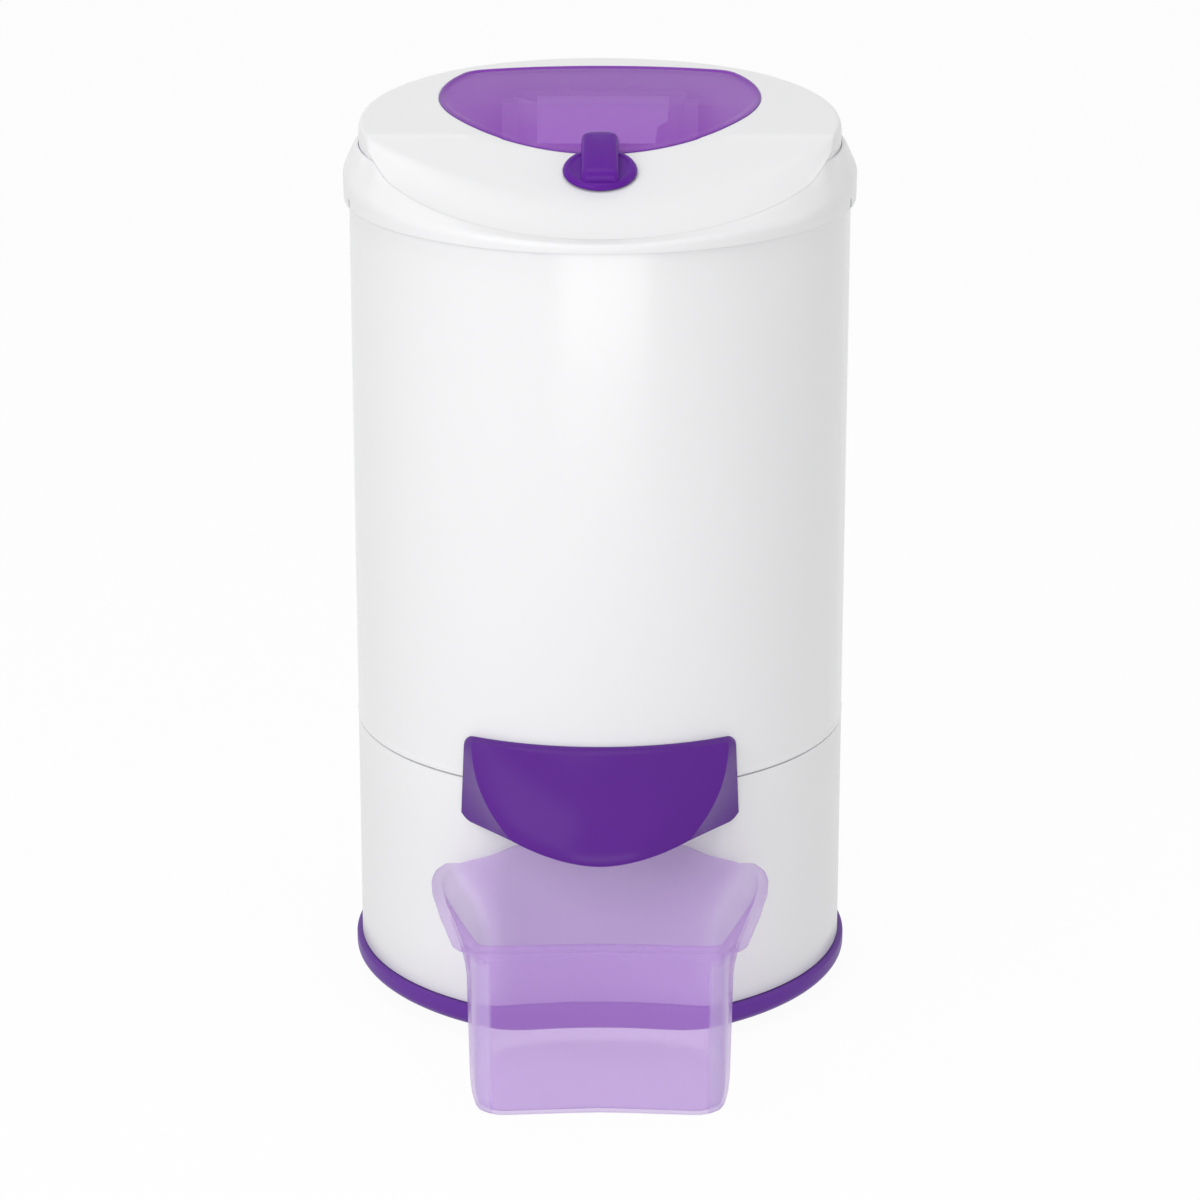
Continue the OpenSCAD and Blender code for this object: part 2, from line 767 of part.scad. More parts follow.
module drum() on_axis() color(steel) difference() {
    union() {
        ring(drum_r, drum_r - drum_t, z_drum, z_drum_top);
        ring(drum_r, shaft_r + seat_gap, z_drum, z_drum + drum_t);
    }
    row_gap = (z_drum_top - z_drum - 90) / (drum_rows - 1);
    for (row = [0:drum_rows - 1], hole = [0:drum_holes - 1])
        rotate([0, 0, (hole + (row % 2) / 2) * 360 / drum_holes])
            translate([drum_r - drum_t - 2, 0, z_drum + 40 + row * row_gap])
                rotate([0, 90, 0]) cylinder(r = drum_hole_r, h = drum_t + 4);
}

module drum_rim() on_axis() color(steel) {
    ring(drum_r + 1.5, drum_r + seat_gap, z_drum_top - rim_skirt, z_drum_top + 2);
    ring(drum_r + 1.5, drum_mouth_r, z_drum_top, z_drum_top + 2);
    ring(drum_mouth_r + 2, drum_mouth_r, z_drum_top - 6, z_drum_top + 2);
}

module drum_hub() on_axis() color(zinc) {
    ring(hub_r, shaft_r + seat_gap, z_drum - 5, z_drum);
    ring(hub_r - 6, shaft_r + seat_gap, z_drum + drum_t, z_drum + drum_t + hub_h);
}

module drum_shaft() on_axis() color(steel) disc(shaft_r, shaft_z0, z_drum + drum_t + hub_h + nut_h + 2);

module drum_nut() on_axis() color(zinc) difference() {
    translate([0, 0, z_drum + drum_t + hub_h]) cylinder(r = 16, h = nut_h, $fn = 6);
    disc(shaft_r + seat_gap, z_drum, z_drum + drum_t + hub_h + nut_h + cut);
}

module lower_bearing() on_axis() color(steel)
    ring(bearing_r, bearing_bore, z_motor + 1, z_motor + 1 + bearing_h);
module upper_bearing() on_axis() color(steel)
    ring(bearing_r, bearing_bore, z_tower_top - 2 - bearing_h, z_tower_top - 2);

module lower_cap() on_axis() color(zinc) difference() {
    union() {
        ring(motor_r, motor_r - cap_t, z_motor, z_stator);
        disc(motor_r, z_motor, z_motor + 3);
        disc(bearing_r + 4, z_motor, z_motor + 1 + bearing_h);
    }
    disc(bearing_r + 0.02, z_motor + 1, z_stator);
    disc(shaft_r + 3, z_motor - cut, z_stator);
}

module upper_cap() on_axis() color(zinc) difference() {
    union() {
        ring(motor_r, motor_r - cap_t, z_upper_cap, z_tower);
        disc(motor_r, z_tower - 3, z_tower);
        disc(tower_r, z_tower - 3, z_tower_top);
    }
    disc(shaft_r + 3, z_upper_cap, z_tower_top + cut);
    disc(bearing_r + 0.02, z_tower_top - 2 - bearing_h, z_tower_top + cut);
}

module stator() on_axis() color(steel) ring(motor_r - 1, stator_bore, z_stator, z_upper_cap);

module windings() on_axis() color(copper) {
    ring(motor_r - cap_t - 2, stator_bore + 5, z_stator - 9, z_stator);
    ring(motor_r - cap_t - 2, stator_bore + 5, z_upper_cap, z_upper_cap + 9);
}

module rotor() on_axis() color(steel) ring(rotor_r, shaft_r + 0.02, z_stator - 2, z_upper_cap + 2);

module motor_fan() on_axis() color(grey_plastic) {
    ring(16, shaft_r + 0.02, z_plate - 16, z_plate - 4);
    ring(48, 15, z_plate - 6, z_plate - 4);
    for (a = [0:45:315]) rotate([0, 0, a]) translate([15, -1, z_plate - 16]) cube([32, 2, 11]);
}

module motor_plate() on_axis() color(zinc) difference() {
    union() {
        disc(motor_r + 4, z_plate, z_motor);
        for (a = mount_angles) rotate([0, 0, a]) translate([0, -mount_r, z_plate])
            cube([mount_circle_r, 2 * mount_r, plate_t]);
        at_mounts() disc(mount_r, z_plate, z_motor);
    }
    disc(shaft_r + 6, z_plate - cut, z_motor + cut);
    at_mounts() disc(bolt_r + seat_gap, z_plate - cut, z_motor + cut);
}

module rubber_mounts() on_axis() color(rubber) at_mounts() difference() {
    union() {
        disc(mount_r, z_mount, z_mount + 12);
        disc(mount_r - 4, z_mount, z_plate);
        disc(mount_r, z_plate - 12, z_plate);
    }
    disc(bolt_r + seat_gap, z_mount - cut, z_plate + cut);
}

module mount_bolts() on_axis() color(zinc) at_mounts() {
    disc(bolt_r, z_pan + 1, z_motor + 1);
    translate([0, 0, z_motor]) cylinder(r = 8, h = 5, $fn = 6);
}

module brake_drum() on_axis() color(zinc) difference() {
    disc(brake_r, z_brake, z_brake + brake_h);
    disc(shaft_r + 0.02, z_brake - cut, z_brake + brake_h + cut);
    ring(brake_r - 5, shaft_r + 6, z_brake + 4, z_brake + brake_h + cut);
}

module brake_lever() on_axis() color(zinc) difference() {
    translate([lever_x, 0, lever_z]) union() {
        translate([-lever_bar_w / 2, lever_end_y, 0])
            cube([lever_bar_w, lever_pivot_y - lever_end_y, lever_bar_h]);
        translate([0, lever_pivot_y, 0]) cylinder(r = lever_boss_r, h = lever_bar_h);
    }
    translate([lever_x, lever_pivot_y, lever_z - cut])
        cylinder(r = pivot_r + run_gap, h = lever_bar_h + 2 * cut);
}

module brake_pad() on_axis() color(rubber) difference() {
    translate([brake_r - 2, -pad_half_w, lever_z - 1])
        cube([lever_x - lever_bar_w / 2 - brake_r + 2, 2 * pad_half_w, lever_bar_h + 2]);
    disc(brake_r + rest_gap, z_brake - cut, z_brake + brake_h + cut);
}

module brake_post() on_axis() color(zinc) {
    translate([lever_x, lever_pivot_y, 0]) {
        disc(6, z_pan, lever_z - rest_gap);
        disc(pivot_r, z_pan, lever_z + lever_bar_h + 4);
    }
    difference() {
        translate([cable_stop_x, lever_end_y - 6, z_pan]) cube([4, 12, cable_low_z + 6 - z_pan]);
        translate([cable_stop_x - cut, lever_end_y, cable_low_z]) rotate([0, 90, 0])
            cylinder(r = 1.5, h = 10);
    }
}

module brake_spring() on_axis() color(steel)
    translate([lever_x, lever_pivot_y, 0])
        ring(pivot_r + 2.2, pivot_r + 0.2, lever_z + lever_bar_h + rest_gap, lever_z + lever_bar_h + 3.5);

// Cable from the brake up past the tub and round to the safety switch, with a guide at each bend
module brake_cable() on_axis() color(rubber) {
    low = [cable_stop_x + 4 + cable_r, lever_end_y, cable_low_z];
    low_run = [cable_x - low[0], cable_y - low[1]];
    high = [housing_half_w + cable_r, -(housing_y0 + 12), cable_high_z];
    high_run = [cable_x - high[0], cable_y - high[1]];
    translate(low) rotate([0, 0, atan2(low_run[1], low_run[0])])
        rotate([0, 90, 0]) cylinder(r = cable_r, h = norm(low_run));
    translate(high) rotate([0, 0, atan2(high_run[1], high_run[0])])
        rotate([0, 90, 0]) cylinder(r = cable_r, h = norm(high_run));
    translate([cable_x, cable_y, cable_low_z]) {
        cylinder(r = cable_r, h = cable_high_z - cable_low_z);
        sphere(r = guide_r);
        translate([0, 0, cable_high_z - cable_low_z]) sphere(r = guide_r);
    }
}

module capacitor() on_axis() color(white)
    translate(capacitor_at) disc(capacitor_r, z_pan, z_pan + capacitor_h);

module capacitor_clip() on_axis() color(zinc) translate(capacitor_at) {
    ring(capacitor_r + 2, capacitor_r + seat_gap, z_pan + 8, z_pan + 22);
    translate([-6, -capacitor_r - 8, z_pan]) cube([12, 6.5, 14]);
}

module cord_gland() on_axis() color(rubber) difference() {
    translate([0, 0, gland_z]) rotate([-90, 0, 0]) {
        translate([0, 0, body_r - lower_t - 5]) cylinder(r = gland_r, h = lower_t + 5.5);
        translate([0, 0, body_r + 0.4]) cylinder(r = gland_r + 3, h = lip - 0.8);
        translate([0, 0, body_r - lower_t - 5]) cylinder(r = gland_r + 2, h = 3);
    }
    translate([0, body_r - 20, gland_z]) rotate([-90, 0, 0]) cylinder(r = 4, h = 40);
}

base_pan();
foot_pads();
foot_screws();
lower_shell();
upper_shell();
seam_ring();
drain_hood();
drain_outlet();
container();
top_ring();
ring_screws();
lid_shell();
lid_window();
lid_liner();
hinge_pin();
knob();
latch_shaft();
latch_tongue();
latch_keeper();
switch_housing();
switch_plunger();
tub();
tub_cover();
tub_seal();
shaft_seal();
drum();
drum_rim();
drum_hub();
drum_shaft();
drum_nut();
lower_bearing();
upper_bearing();
lower_cap();
upper_cap();
stator();
windings();
rotor();
motor_fan();
motor_plate();
rubber_mounts();
mount_bolts();
brake_drum();
brake_lever();
brake_pad();
brake_post();
brake_spring();
brake_cable();
capacitor();
capacitor_clip();
cord_gland();
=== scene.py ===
# Laundry spin dryer, dressed round its frame: feet and base, casing, drain hood, water container,
# drum and running gear, collar, lid with its window, hinge, lock knob and collar screws.
# Sizes are in millimetres about the upright drum axis; y grows towards the back.
import json
import math

import bmesh
import bpy
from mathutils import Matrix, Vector


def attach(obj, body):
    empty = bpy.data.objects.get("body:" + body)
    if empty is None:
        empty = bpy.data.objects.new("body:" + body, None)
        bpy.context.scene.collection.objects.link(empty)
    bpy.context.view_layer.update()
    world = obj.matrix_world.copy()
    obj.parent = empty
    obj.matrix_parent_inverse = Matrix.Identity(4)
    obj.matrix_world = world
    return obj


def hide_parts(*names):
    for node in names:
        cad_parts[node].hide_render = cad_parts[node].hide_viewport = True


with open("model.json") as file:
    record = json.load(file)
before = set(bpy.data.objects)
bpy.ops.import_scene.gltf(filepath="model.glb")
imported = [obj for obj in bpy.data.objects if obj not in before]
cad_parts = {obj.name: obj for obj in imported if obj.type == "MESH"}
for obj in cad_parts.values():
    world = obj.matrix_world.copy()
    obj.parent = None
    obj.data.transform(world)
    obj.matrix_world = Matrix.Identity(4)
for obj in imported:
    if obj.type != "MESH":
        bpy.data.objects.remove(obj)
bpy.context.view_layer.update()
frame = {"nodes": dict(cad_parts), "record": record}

# ---------------------------------------------------------------------------------------------
# Camera: a long lens, a little under three metres away and some 18 degrees above the level of
# the casing, so that the round lid and the inside of the container both show.
AXIS_Y = 50.5
LENS = 127.17
VIEW_DISTANCE = 2.914
VIEW_RISE = math.radians(18.36)
VIEW_TARGET = Vector((0, -0.0005, 0.2852))

scene = bpy.context.scene
scene.view_settings.view_transform = "Standard"
camera_data = bpy.data.cameras.new("camera")
camera_data.lens = LENS
camera_data.sensor_width = 36
camera_data.sensor_fit = "HORIZONTAL"
camera = bpy.data.objects.new("camera", camera_data)
away = Vector((0, -math.cos(VIEW_RISE), math.sin(VIEW_RISE)))
camera.location = VIEW_TARGET + VIEW_DISTANCE * away
camera.rotation_euler = (math.pi / 2 - VIEW_RISE, 0, 0)
scene.collection.objects.link(camera)
scene.camera = camera

# ---------------------------------------------------------------------------------------------
# Studio: a white floor and surround, one broad lamp from the front left, and weaker ones from
# the right, from above and from low in front. The floor keeps a faint shadow of the machine.
FLOOR_WHITE = 0.90
FLOOR_GLOW = 0.95
FLOOR_HALF = 12.0
SURROUND_LIGHT = 0.50


def add(tree, kind, **values):
    """New node; capitalised values go to its inputs of that name, the others to its settings."""
    node = tree.nodes.new(kind)
    for key, value in values.items():
        label = key.replace("_", " ")
        if key[0].isupper() and label in node.inputs:
            node.inputs[label].default_value = value
        else:
            setattr(node, key, value)
    return node


def wire(tree, kind, sources, **values):
    """Outputs of a new node, with its inputs fed from sources by name or number."""
    node = add(tree, kind, **values)
    for label, source in sources.items():
        tree.links.new(source, node.inputs[label])
    return node.outputs


def maths(tree, kind, *values, clamp=False):
    """Output of a math node over values, each a number or a socket."""
    node = add(tree, "ShaderNodeMath", operation=kind, use_clamp=clamp)
    for place, value in zip(node.inputs, values):
        if isinstance(value, (int, float)):
            place.default_value = value
        else:
            tree.links.new(value, place)
    return node.outputs[0]


def ramp(tree, value, span, onto=(0.0, 1.0), kind="LINEAR"):
    """Value carried from one span onto another and held at its ends."""
    return wire(tree, "ShaderNodeMapRange", {"Value": value}, clamp=True, interpolation_type=kind,
                From_Min=span[0], From_Max=span[1], To_Min=onto[0], To_Max=onto[1])["Result"]


def seen_rays(tree):
    """1 for camera, glossy and transmission rays, 0 for the others."""
    rays = add(tree, "ShaderNodeLightPath").outputs
    direct = maths(tree, "ADD", rays["Is Camera Ray"], rays["Is Glossy Ray"], clamp=True)
    return maths(tree, "ADD", direct, rays["Is Transmission Ray"], clamp=True)


def new_material(name):
    """New material with its node tree and its shader."""
    material = bpy.data.materials.new(name)
    material.use_nodes = True
    return material, material.node_tree, material.node_tree.nodes["Principled BSDF"]


floor_paint, tree, shader = new_material("studio floor")
shader.inputs["Base Color"].default_value = (FLOOR_WHITE, FLOOR_WHITE, FLOOR_WHITE, 1)
shader.inputs["Roughness"].default_value = 0.8
shader.inputs["Specular IOR Level"].default_value = 0.1
glow = add(tree, "ShaderNodeEmission", Color=(1, 1, 1, 1), Strength=1.0)
blend = wire(tree, "ShaderNodeMixShader", {
    "Fac": maths(tree, "MULTIPLY", seen_rays(tree), FLOOR_GLOW),
    1: shader.outputs["BSDF"], 2: glow.outputs["Emission"]})
tree.links.new(blend["Shader"], tree.nodes["Material Output"].inputs["Surface"])

floor_mesh = bpy.data.meshes.new("studio floor")
floor_mesh.from_pydata([(x * FLOOR_HALF, y * FLOOR_HALF, 0)
                        for x, y in ((-1, -1), (1, -1), (1, 1), (-1, 1))], [], [(0, 1, 2, 3)])
floor_mesh.materials.append(floor_paint)
studio_floor = bpy.data.objects.new("studio floor", floor_mesh)
scene.collection.objects.link(studio_floor)

world = bpy.data.worlds.new("studio surround")
scene.world = world
world.use_nodes = True
tree = world.node_tree
surround = tree.nodes["Background"]
surround.inputs["Color"].default_value = (1, 1, 1, 1)
tree.links.new(ramp(tree, seen_rays(tree), (0.0, 1.0), (SURROUND_LIGHT, 1.0)),
               surround.inputs["Strength"])


def lamp(name, place, aim, size, power):
    """Rectangular lamp at a place, turned to what it lights."""
    light = bpy.data.lights.new(name, "AREA")
    light.shape = "RECTANGLE"
    light.size, light.size_y = size
    light.energy = power
    holder = bpy.data.objects.new(name, light)
    holder.location = place
    holder.rotation_euler = (Vector(aim) - Vector(place)).to_track_quat("-Z", "Y").to_euler()
    scene.collection.objects.link(holder)


lamp("key lamp", (-1.8, -2.5, 1.9), (0, 0, 0.3), (2.6, 2.4), 42)
lamp("fill lamp", (2.7, 0.1, 1.2), (0, 0, 0.3), (1.0, 2.0), 9)
lamp("top lamp", (-0.3, -0.2, 2.8), (0, 0, 0.5), (1.8, 1.4), 17)
lamp("low front lamp", (0.1, -3.1, 0.35), (0, 0, 0.12), (2.2, 0.6), 16)

# ---------------------------------------------------------------------------------------------
# Rubber feet: four turned rubber pads in a square under the base, each held by a zinc screw.
# One pad is turned and set out four times.
FOOT_CIRCLE = 132.0
FOOT_R = 14.0
FOOT_H = 6.0
DUST_COLOUR = (0.62, 0.60, 0.58, 1)


def effect(name, inputs, outputs):
    """Empty shader group with named inputs and outputs, and the sockets at its two ends."""
    group = bpy.data.node_groups.new(name, "ShaderNodeTree")

    def socket(label, way):
        """Socket of the group; every one but the colour is a number."""
        kind = "NodeSocketColor" if label == "Colour" else "NodeSocketFloat"
        return group.interface.new_socket(name=label, in_out=way, socket_type=kind)

    for label, value in inputs.items():
        socket(label, "INPUT").default_value = value
    for label in outputs:
        socket(label, "OUTPUT")
    given, result = group.nodes.new("NodeGroupInput"), group.nodes.new("NodeGroupOutput")
    return group, given.outputs, result.inputs


def give_out(group, result, **values):
    """Values linked to a group's outputs."""
    for label, value in values.items():
        group.links.new(value, result[label])


def noise(tree, where, **values):
    """Soft noise over a place."""
    return wire(tree, "ShaderNodeTexNoise", {"Vector": where}, **values)["Fac"]


def toned(tree, colour, share):
    """Colour made lighter or darker by a share."""
    return wire(tree, "ShaderNodeVectorMath", {0: colour, "Scale": share},
                operation="SCALE")["Vector"]


# Moulded surface: a slight cloudiness in the colour, handling marks in the gloss, fine grain
moulded, given, result = effect(
    "moulded surface", {"Colour": (0.8, 0.8, 0.8, 1), "Cloudiness": 0.03, "Gloss": 0.3,
                        "Marks": 0.06, "Grain size": 900.0}, ("Colour", "Roughness", "Height"))
where = add(moulded, "ShaderNodeTexCoord").outputs["Object"]
cloud = noise(moulded, where, Scale=9.0, Detail=3.0, Roughness=0.55)
marks = noise(moulded, where, Scale=34.0, Detail=6.0, Roughness=0.62, Distortion=0.6)
tone = maths(moulded, "MULTIPLY_ADD", maths(moulded, "SUBTRACT", cloud, 0.5), given["Cloudiness"],
             1.0)
gloss = maths(moulded, "MULTIPLY_ADD", maths(moulded, "SUBTRACT", marks, 0.5), given["Marks"],
              given["Gloss"])
grain = wire(moulded, "ShaderNodeTexNoise", {"Vector": where, "Scale": given["Grain size"]},
             Detail=2.0, Roughness=0.5)
give_out(moulded, result, Colour=toned(moulded, given["Colour"], tone), Roughness=gloss,
         Height=grain["Fac"])

# Settled dust: a thin patchy film on what faces up
dust, given, result = effect("settled dust", {"Amount": 0.2}, ("Mask",))
where = add(dust, "ShaderNodeTexCoord").outputs
facing = wire(dust, "ShaderNodeSeparateXYZ", {"Vector": where["Normal"]})
patch = noise(dust, where["Object"], Scale=60.0, Detail=5.0, Roughness=0.7)
film = maths(dust, "MULTIPLY", ramp(dust, facing["Z"], (0.35, 1.0)), patch)
give_out(dust, result, Mask=maths(dust, "MULTIPLY", film, given["Amount"]))


def placed(tree, group, **values):
    """Outputs of a shared group placed in a material, with values of its own."""
    node = tree.nodes.new("ShaderNodeGroup")
    node.node_tree = group
    for key, value in values.items():
        node.inputs[key.replace("_", " ")].default_value = value
    return node.outputs


def surfaced(tree, shader, skin, strength, depth):
    """Roughness and fine relief of a placed group, given to the shader."""
    bump = wire(tree, "ShaderNodeBump", {"Height": skin["Height"]}, Strength=strength,
                Distance=depth)
    tree.links.new(bump["Normal"], shader.inputs["Normal"])
    tree.links.new(skin["Roughness"], shader.inputs["Roughness"])


def plastic(name, colour, gloss, cloudiness=0.03, marks=0.06, grain=900.0, depth=0.00002,
            dusty=0.0, coat=0.0, alpha=None, mirror=0.5):
    """Moulded or painted finish: cloudiness, handling marks, fine grain and a little dust."""
    material, tree, shader = new_material(name)
    skin = placed(tree, moulded, Colour=(*colour, 1), Cloudiness=cloudiness, Gloss=gloss,
                  Marks=marks, Grain_size=grain)
    surfaced(tree, shader, skin, 0.35, depth)
    base = skin["Colour"]
    if dusty:
        film = placed(tree, dust, Amount=dusty)["Mask"]
        base = wire(tree, "ShaderNodeMix", {"Factor": film, "A": base}, data_type="RGBA",
                    B=DUST_COLOUR)["Result"]
    tree.links.new(base, shader.inputs["Base Color"])
    shader.inputs["Specular IOR Level"].default_value = mirror
    shader.inputs["Coat Weight"].default_value = coat
    if coat:
        shader.inputs["Coat Roughness"].default_value = 0.08
    if alpha is not None:
        shader.inputs["Alpha"].default_value = alpha
    return material


def rounded(corners, steps=5):
    """Line through corners (r, z, ease), each corner eased over that length of its two edges."""
    line = []
    count = len(corners)
    for i, (r, z, ease) in enumerate(corners):
        here = Vector((r, z))
        before = Vector(corners[i - 1][:2]) - here
        after = Vector(corners[(i + 1) % count][:2]) - here
        if ease <= 0:
            line.append((r, z))
            continue
        a = here + before.normalized() * min(ease, before.length * 0.49)
        b = here + after.normalized() * min(ease, after.length * 0.49)
        for k in range(steps + 1):
            t = k / steps
            point = a * (1 - t) ** 2 + here * 2 * t * (1 - t) + b * t * t
            line.append((point.x, point.y))
    return line


def stitch(rows, around, ends, start):
    """Faces of a grid of points: around joins each row's ends, ends joins last row to first."""
    wide, tall = len(rows[0]), len(rows)
    faces = []
    for i in range(tall if ends else tall - 1):
        for j in range(wide if around else wide - 1):
            a, b = start + i * wide, start + (i + 1) % tall * wide
            k = (j + 1) % wide
            faces.append((a + j, a + k, b + k, b + j))
    return faces


def sheet_mesh(name, grids, sharp=38.0):
    """Mesh from grids (rows, around, ends), in millimetres about the drum axis."""
    points, faces = [], []
    for rows, around, ends in grids:
        faces += stitch(rows, around, ends, len(points))
        points += [p for row in rows for p in row]
    mesh = bpy.data.meshes.new(name)
    mesh.from_pydata([(x / 1000, (y + AXIS_Y) / 1000, z / 1000) for x, y, z in points], [], faces)
    work = bmesh.new()
    work.from_mesh(mesh)
    bmesh.ops.remove_doubles(work, verts=work.verts, dist=1e-6)
    bmesh.ops.dissolve_degenerate(work, edges=work.edges, dist=1e-7)
    bmesh.ops.recalc_face_normals(work, faces=work.faces)
    work.to_mesh(mesh)
    work.free()
    mesh.shade_smooth()
    mesh.set_sharp_from_angle(angle=math.radians(sharp))
    return mesh


def turns(steps):
    """Azimuths round an upright axis; 0 is the front."""
    return [2 * math.pi * j / steps for j in range(steps)]


def turn(line, steps=128, centre=(0, 0)):
    """Rows of a closed section (r, z) turned round an upright axis."""
    return [[(centre[0] + r * math.sin(a), centre[1] - r * math.cos(a), z) for a in turns(steps)]
            for r, z in line]


def evaluated(maker, name, sharp=38.0):
    """Plain mesh of an object with its modifiers applied; the object is taken away."""
    bpy.context.view_layer.update()
    finished = maker.evaluated_get(bpy.context.evaluated_depsgraph_get())
    mesh = bpy.data.meshes.new_from_object(finished)
    maker.modifiers.clear()
    bpy.data.objects.remove(maker)
    mesh.name = name
    mesh.shade_smooth()
    mesh.set_sharp_from_angle(angle=math.radians(sharp))
    return mesh


def set_out(name, unit, sizes, finish, build, sharp=38.0):
    """Mesh that Geometry Nodes make from a unit: sizes gives the tree's named inputs, and build
    adds the nodes that set out the copies and make them real."""
    tree = bpy.data.node_groups.new(name, "GeometryNodeTree")
    tree.interface.new_socket(name="Geometry", in_out="INPUT", socket_type="NodeSocketGeometry")
    kinds = {int: "NodeSocketInt", float: "NodeSocketFloat"}
    values = {}
    for label, value in {**sizes, "Finish": finish}.items():
        kind = kinds.get(type(value), "NodeSocketMaterial")
        socket = tree.interface.new_socket(name=label, in_out="INPUT", socket_type=kind)
        values[socket.identifier] = value
    tree.interface.new_socket(name="Geometry", in_out="OUTPUT", socket_type="NodeSocketGeometry")
    given, end = tree.nodes.new("NodeGroupInput").outputs, tree.nodes.new("NodeGroupOutput")
    painted = wire(tree, "GeometryNodeSetMaterial", {"Geometry": build(tree, given),
                                                     "Material": given["Finish"]})
    tree.links.new(painted["Geometry"], end.inputs["Geometry"])
    maker = bpy.data.objects.new(name + " maker", unit)
    scene.collection.objects.link(maker)
    modifier = maker.modifiers.new("set out", "NODES")
    modifier.node_group = tree
    for identifier, value in values.items():
        modifier[identifier] = value
    return evaluated(maker, name, sharp)


def in_a_ring(tree, given):
    """Copies of the unit on a level circle round the drum axis."""
    circle = wire(tree, "GeometryNodeMeshCircle", {"Vertices": given["Count"],
                                                   "Radius": given["Circle radius"]})
    spot = wire(tree, "ShaderNodeCombineXYZ", {"Z": given["Height"]}, Y=AXIS_Y / 1000)
    spin = wire(tree, "ShaderNodeCombineXYZ", {"Z": given["Turned"]})
    points = wire(tree, "GeometryNodeTransform", {
        "Geometry": circle["Mesh"], "Translation": spot["Vector"], "Rotation": spin["Vector"]})
    copies = wire(tree, "GeometryNodeInstanceOnPoints", {"Points": points["Geometry"],
                                                         "Instance": given["Geometry"]})
    return wire(tree, "GeometryNodeRealizeInstances", {"Geometry": copies["Instances"]})["Geometry"]


stood_for = set()


def fit(mesh, name, material, body, slot, *nodes):
    """Object from a mesh: its material, its body, and the nodes it stands for; slot is not used."""
    piece = bpy.data.objects.new(name, mesh)
    scene.collection.objects.link(piece)
    mesh.materials.clear()
    mesh.materials.append(material)
    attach(piece, body)
    if nodes:
        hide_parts(*nodes)
        stood_for.update(nodes)
    return piece


rubber = plastic("black rubber", (0.022, 0.022, 0.024), 0.72, 0.25, 0.2, 1500.0, 0.00006, 0.25)
pad_line = rounded([(2.2, FOOT_H - 0.1, 0), (FOOT_R - 2.5, FOOT_H - 0.1, 0.6),
                    (FOOT_R - 0.4, 3.2, 1.0), (FOOT_R, 0.0, 0.8), (FOOT_R - 2.4, 0.0, 0.3),
                    (FOOT_R - 3.0, 0.9, 0.2), (FOOT_R - 4.2, 0.9, 0.2), (FOOT_R - 4.8, 0.0, 0.3),
                    (5.6, 0.0, 0.4), (5.3, 3.0, 0.3), (2.2, 3.0, 0.2)], 3)
pad = sheet_mesh("rubber foot", [(turn(pad_line, 40, (0, -AXIS_Y)), True, True)])
feet = set_out("rubber feet", pad, {"Count": 4, "Circle radius": FOOT_CIRCLE / 1000, "Height": 0.0,
                                    "Turned": math.pi / 4}, rubber, in_a_ring)
fit(feet, "rubber_feet", rubber, "casing", "rubber", "foot_pads")

# ---------------------------------------------------------------------------------------------
# Base: a purple moulded bowl, rounded in at its foot, with a lip that stands 4 mm proud of the
# casing and a shallow recess in front, where the water container stands.
BODY_R = 170.0
LIP = 4.0
BOWL_R, BOWL_FOOT_R = BODY_R + LIP, 156.0
BOWL_LOW, BOWL_FLOOR = 6.0, 9.0
RECESS_Y = 143.0
RECESS_HALF_W = 76.0
recess_sag = math.sqrt(BODY_R ** 2 - RECESS_HALF_W ** 2) - RECESS_Y
RECESS_R = (RECESS_HALF_W ** 2 + recess_sag ** 2) / (2 * recess_sag)
RECESS_CENTRE = RECESS_Y + RECESS_R
ROUND_STEPS = 288


def at(azimuth, r, z):
    """Point at an azimuth and a distance from the drum axis."""
    return (r * math.sin(azimuth), -r * math.cos(azimuth), z)


def ease_min(a, b, k):
    """Smaller of two values, with the corner between them eased over k."""
    h = max(k - abs(a - b), 0.0) / k
    return min(a, b) - h * h * k / 4


def recess_run(azimuth, grow):
    """Distance from the drum axis to the recess wall along an azimuth."""
    reach = (RECESS_R + grow) ** 2 - (RECESS_CENTRE * math.sin(azimuth)) ** 2
    if math.cos(azimuth) <= 0 or reach < 0:
        return 1000.0
    return RECESS_CENTRE * math.cos(azimuth) - math.sqrt(reach)


def recessed(line, grow, ease):
    """Rows of a section turned round the axis and cut in by the front recess; a section point
    (r, z, inset) lies inset behind the recess wall. The rows are finer in front."""
    azimuths = [t - 0.45 * math.sin(t) for t in turns(ROUND_STEPS)]
    return [[at(a, ease_min(r, recess_run(a, grow) - inset, ease), z) for a in azimuths]
            for r, z, inset in line]


def flat_row(row, share, z):
    """Row drawn in towards the drum axis, level at a height."""
    return [(x * share, y * share, z) for x, y, _ in row]


base_purple = plastic("base purple", (0.132, 0.040, 0.305), 0.36, 0.05, 0.08, 1400.0, 0.00003, 0.02,
                      mirror=0.08)
base_line = [(BOWL_FOOT_R + (BOWL_R - BOWL_FOOT_R) * math.sin(a), BOWL_LOW + 11 * (1 - math.cos(a)),
              4 * (1 - math.sin(a))) for a in [math.pi / 2 * k / 14 for k in range(15)]]
base_line += [(BOWL_R, 22.6, 0.0), (173.8, 23.6, 0.15), (173.2, 24.3, 0.6), (172.2, 24.6, 1.4),
              (170.6, 24.6, 2.8), (167.0, 24.6, 6.0), (166.4, 23.6, 6.5), (166.0, 12.0, 6.8),
              (160.0, 9.2, 10.0)]
base_rows = recessed(base_line, -LIP, 7.0)
base_rows = ([flat_row(base_rows[0], s, BOWL_LOW) for s in (0.0, 0.5)] + base_rows
             + [flat_row(base_rows[-1], s, BOWL_FLOOR) for s in (0.5, 0.0)])
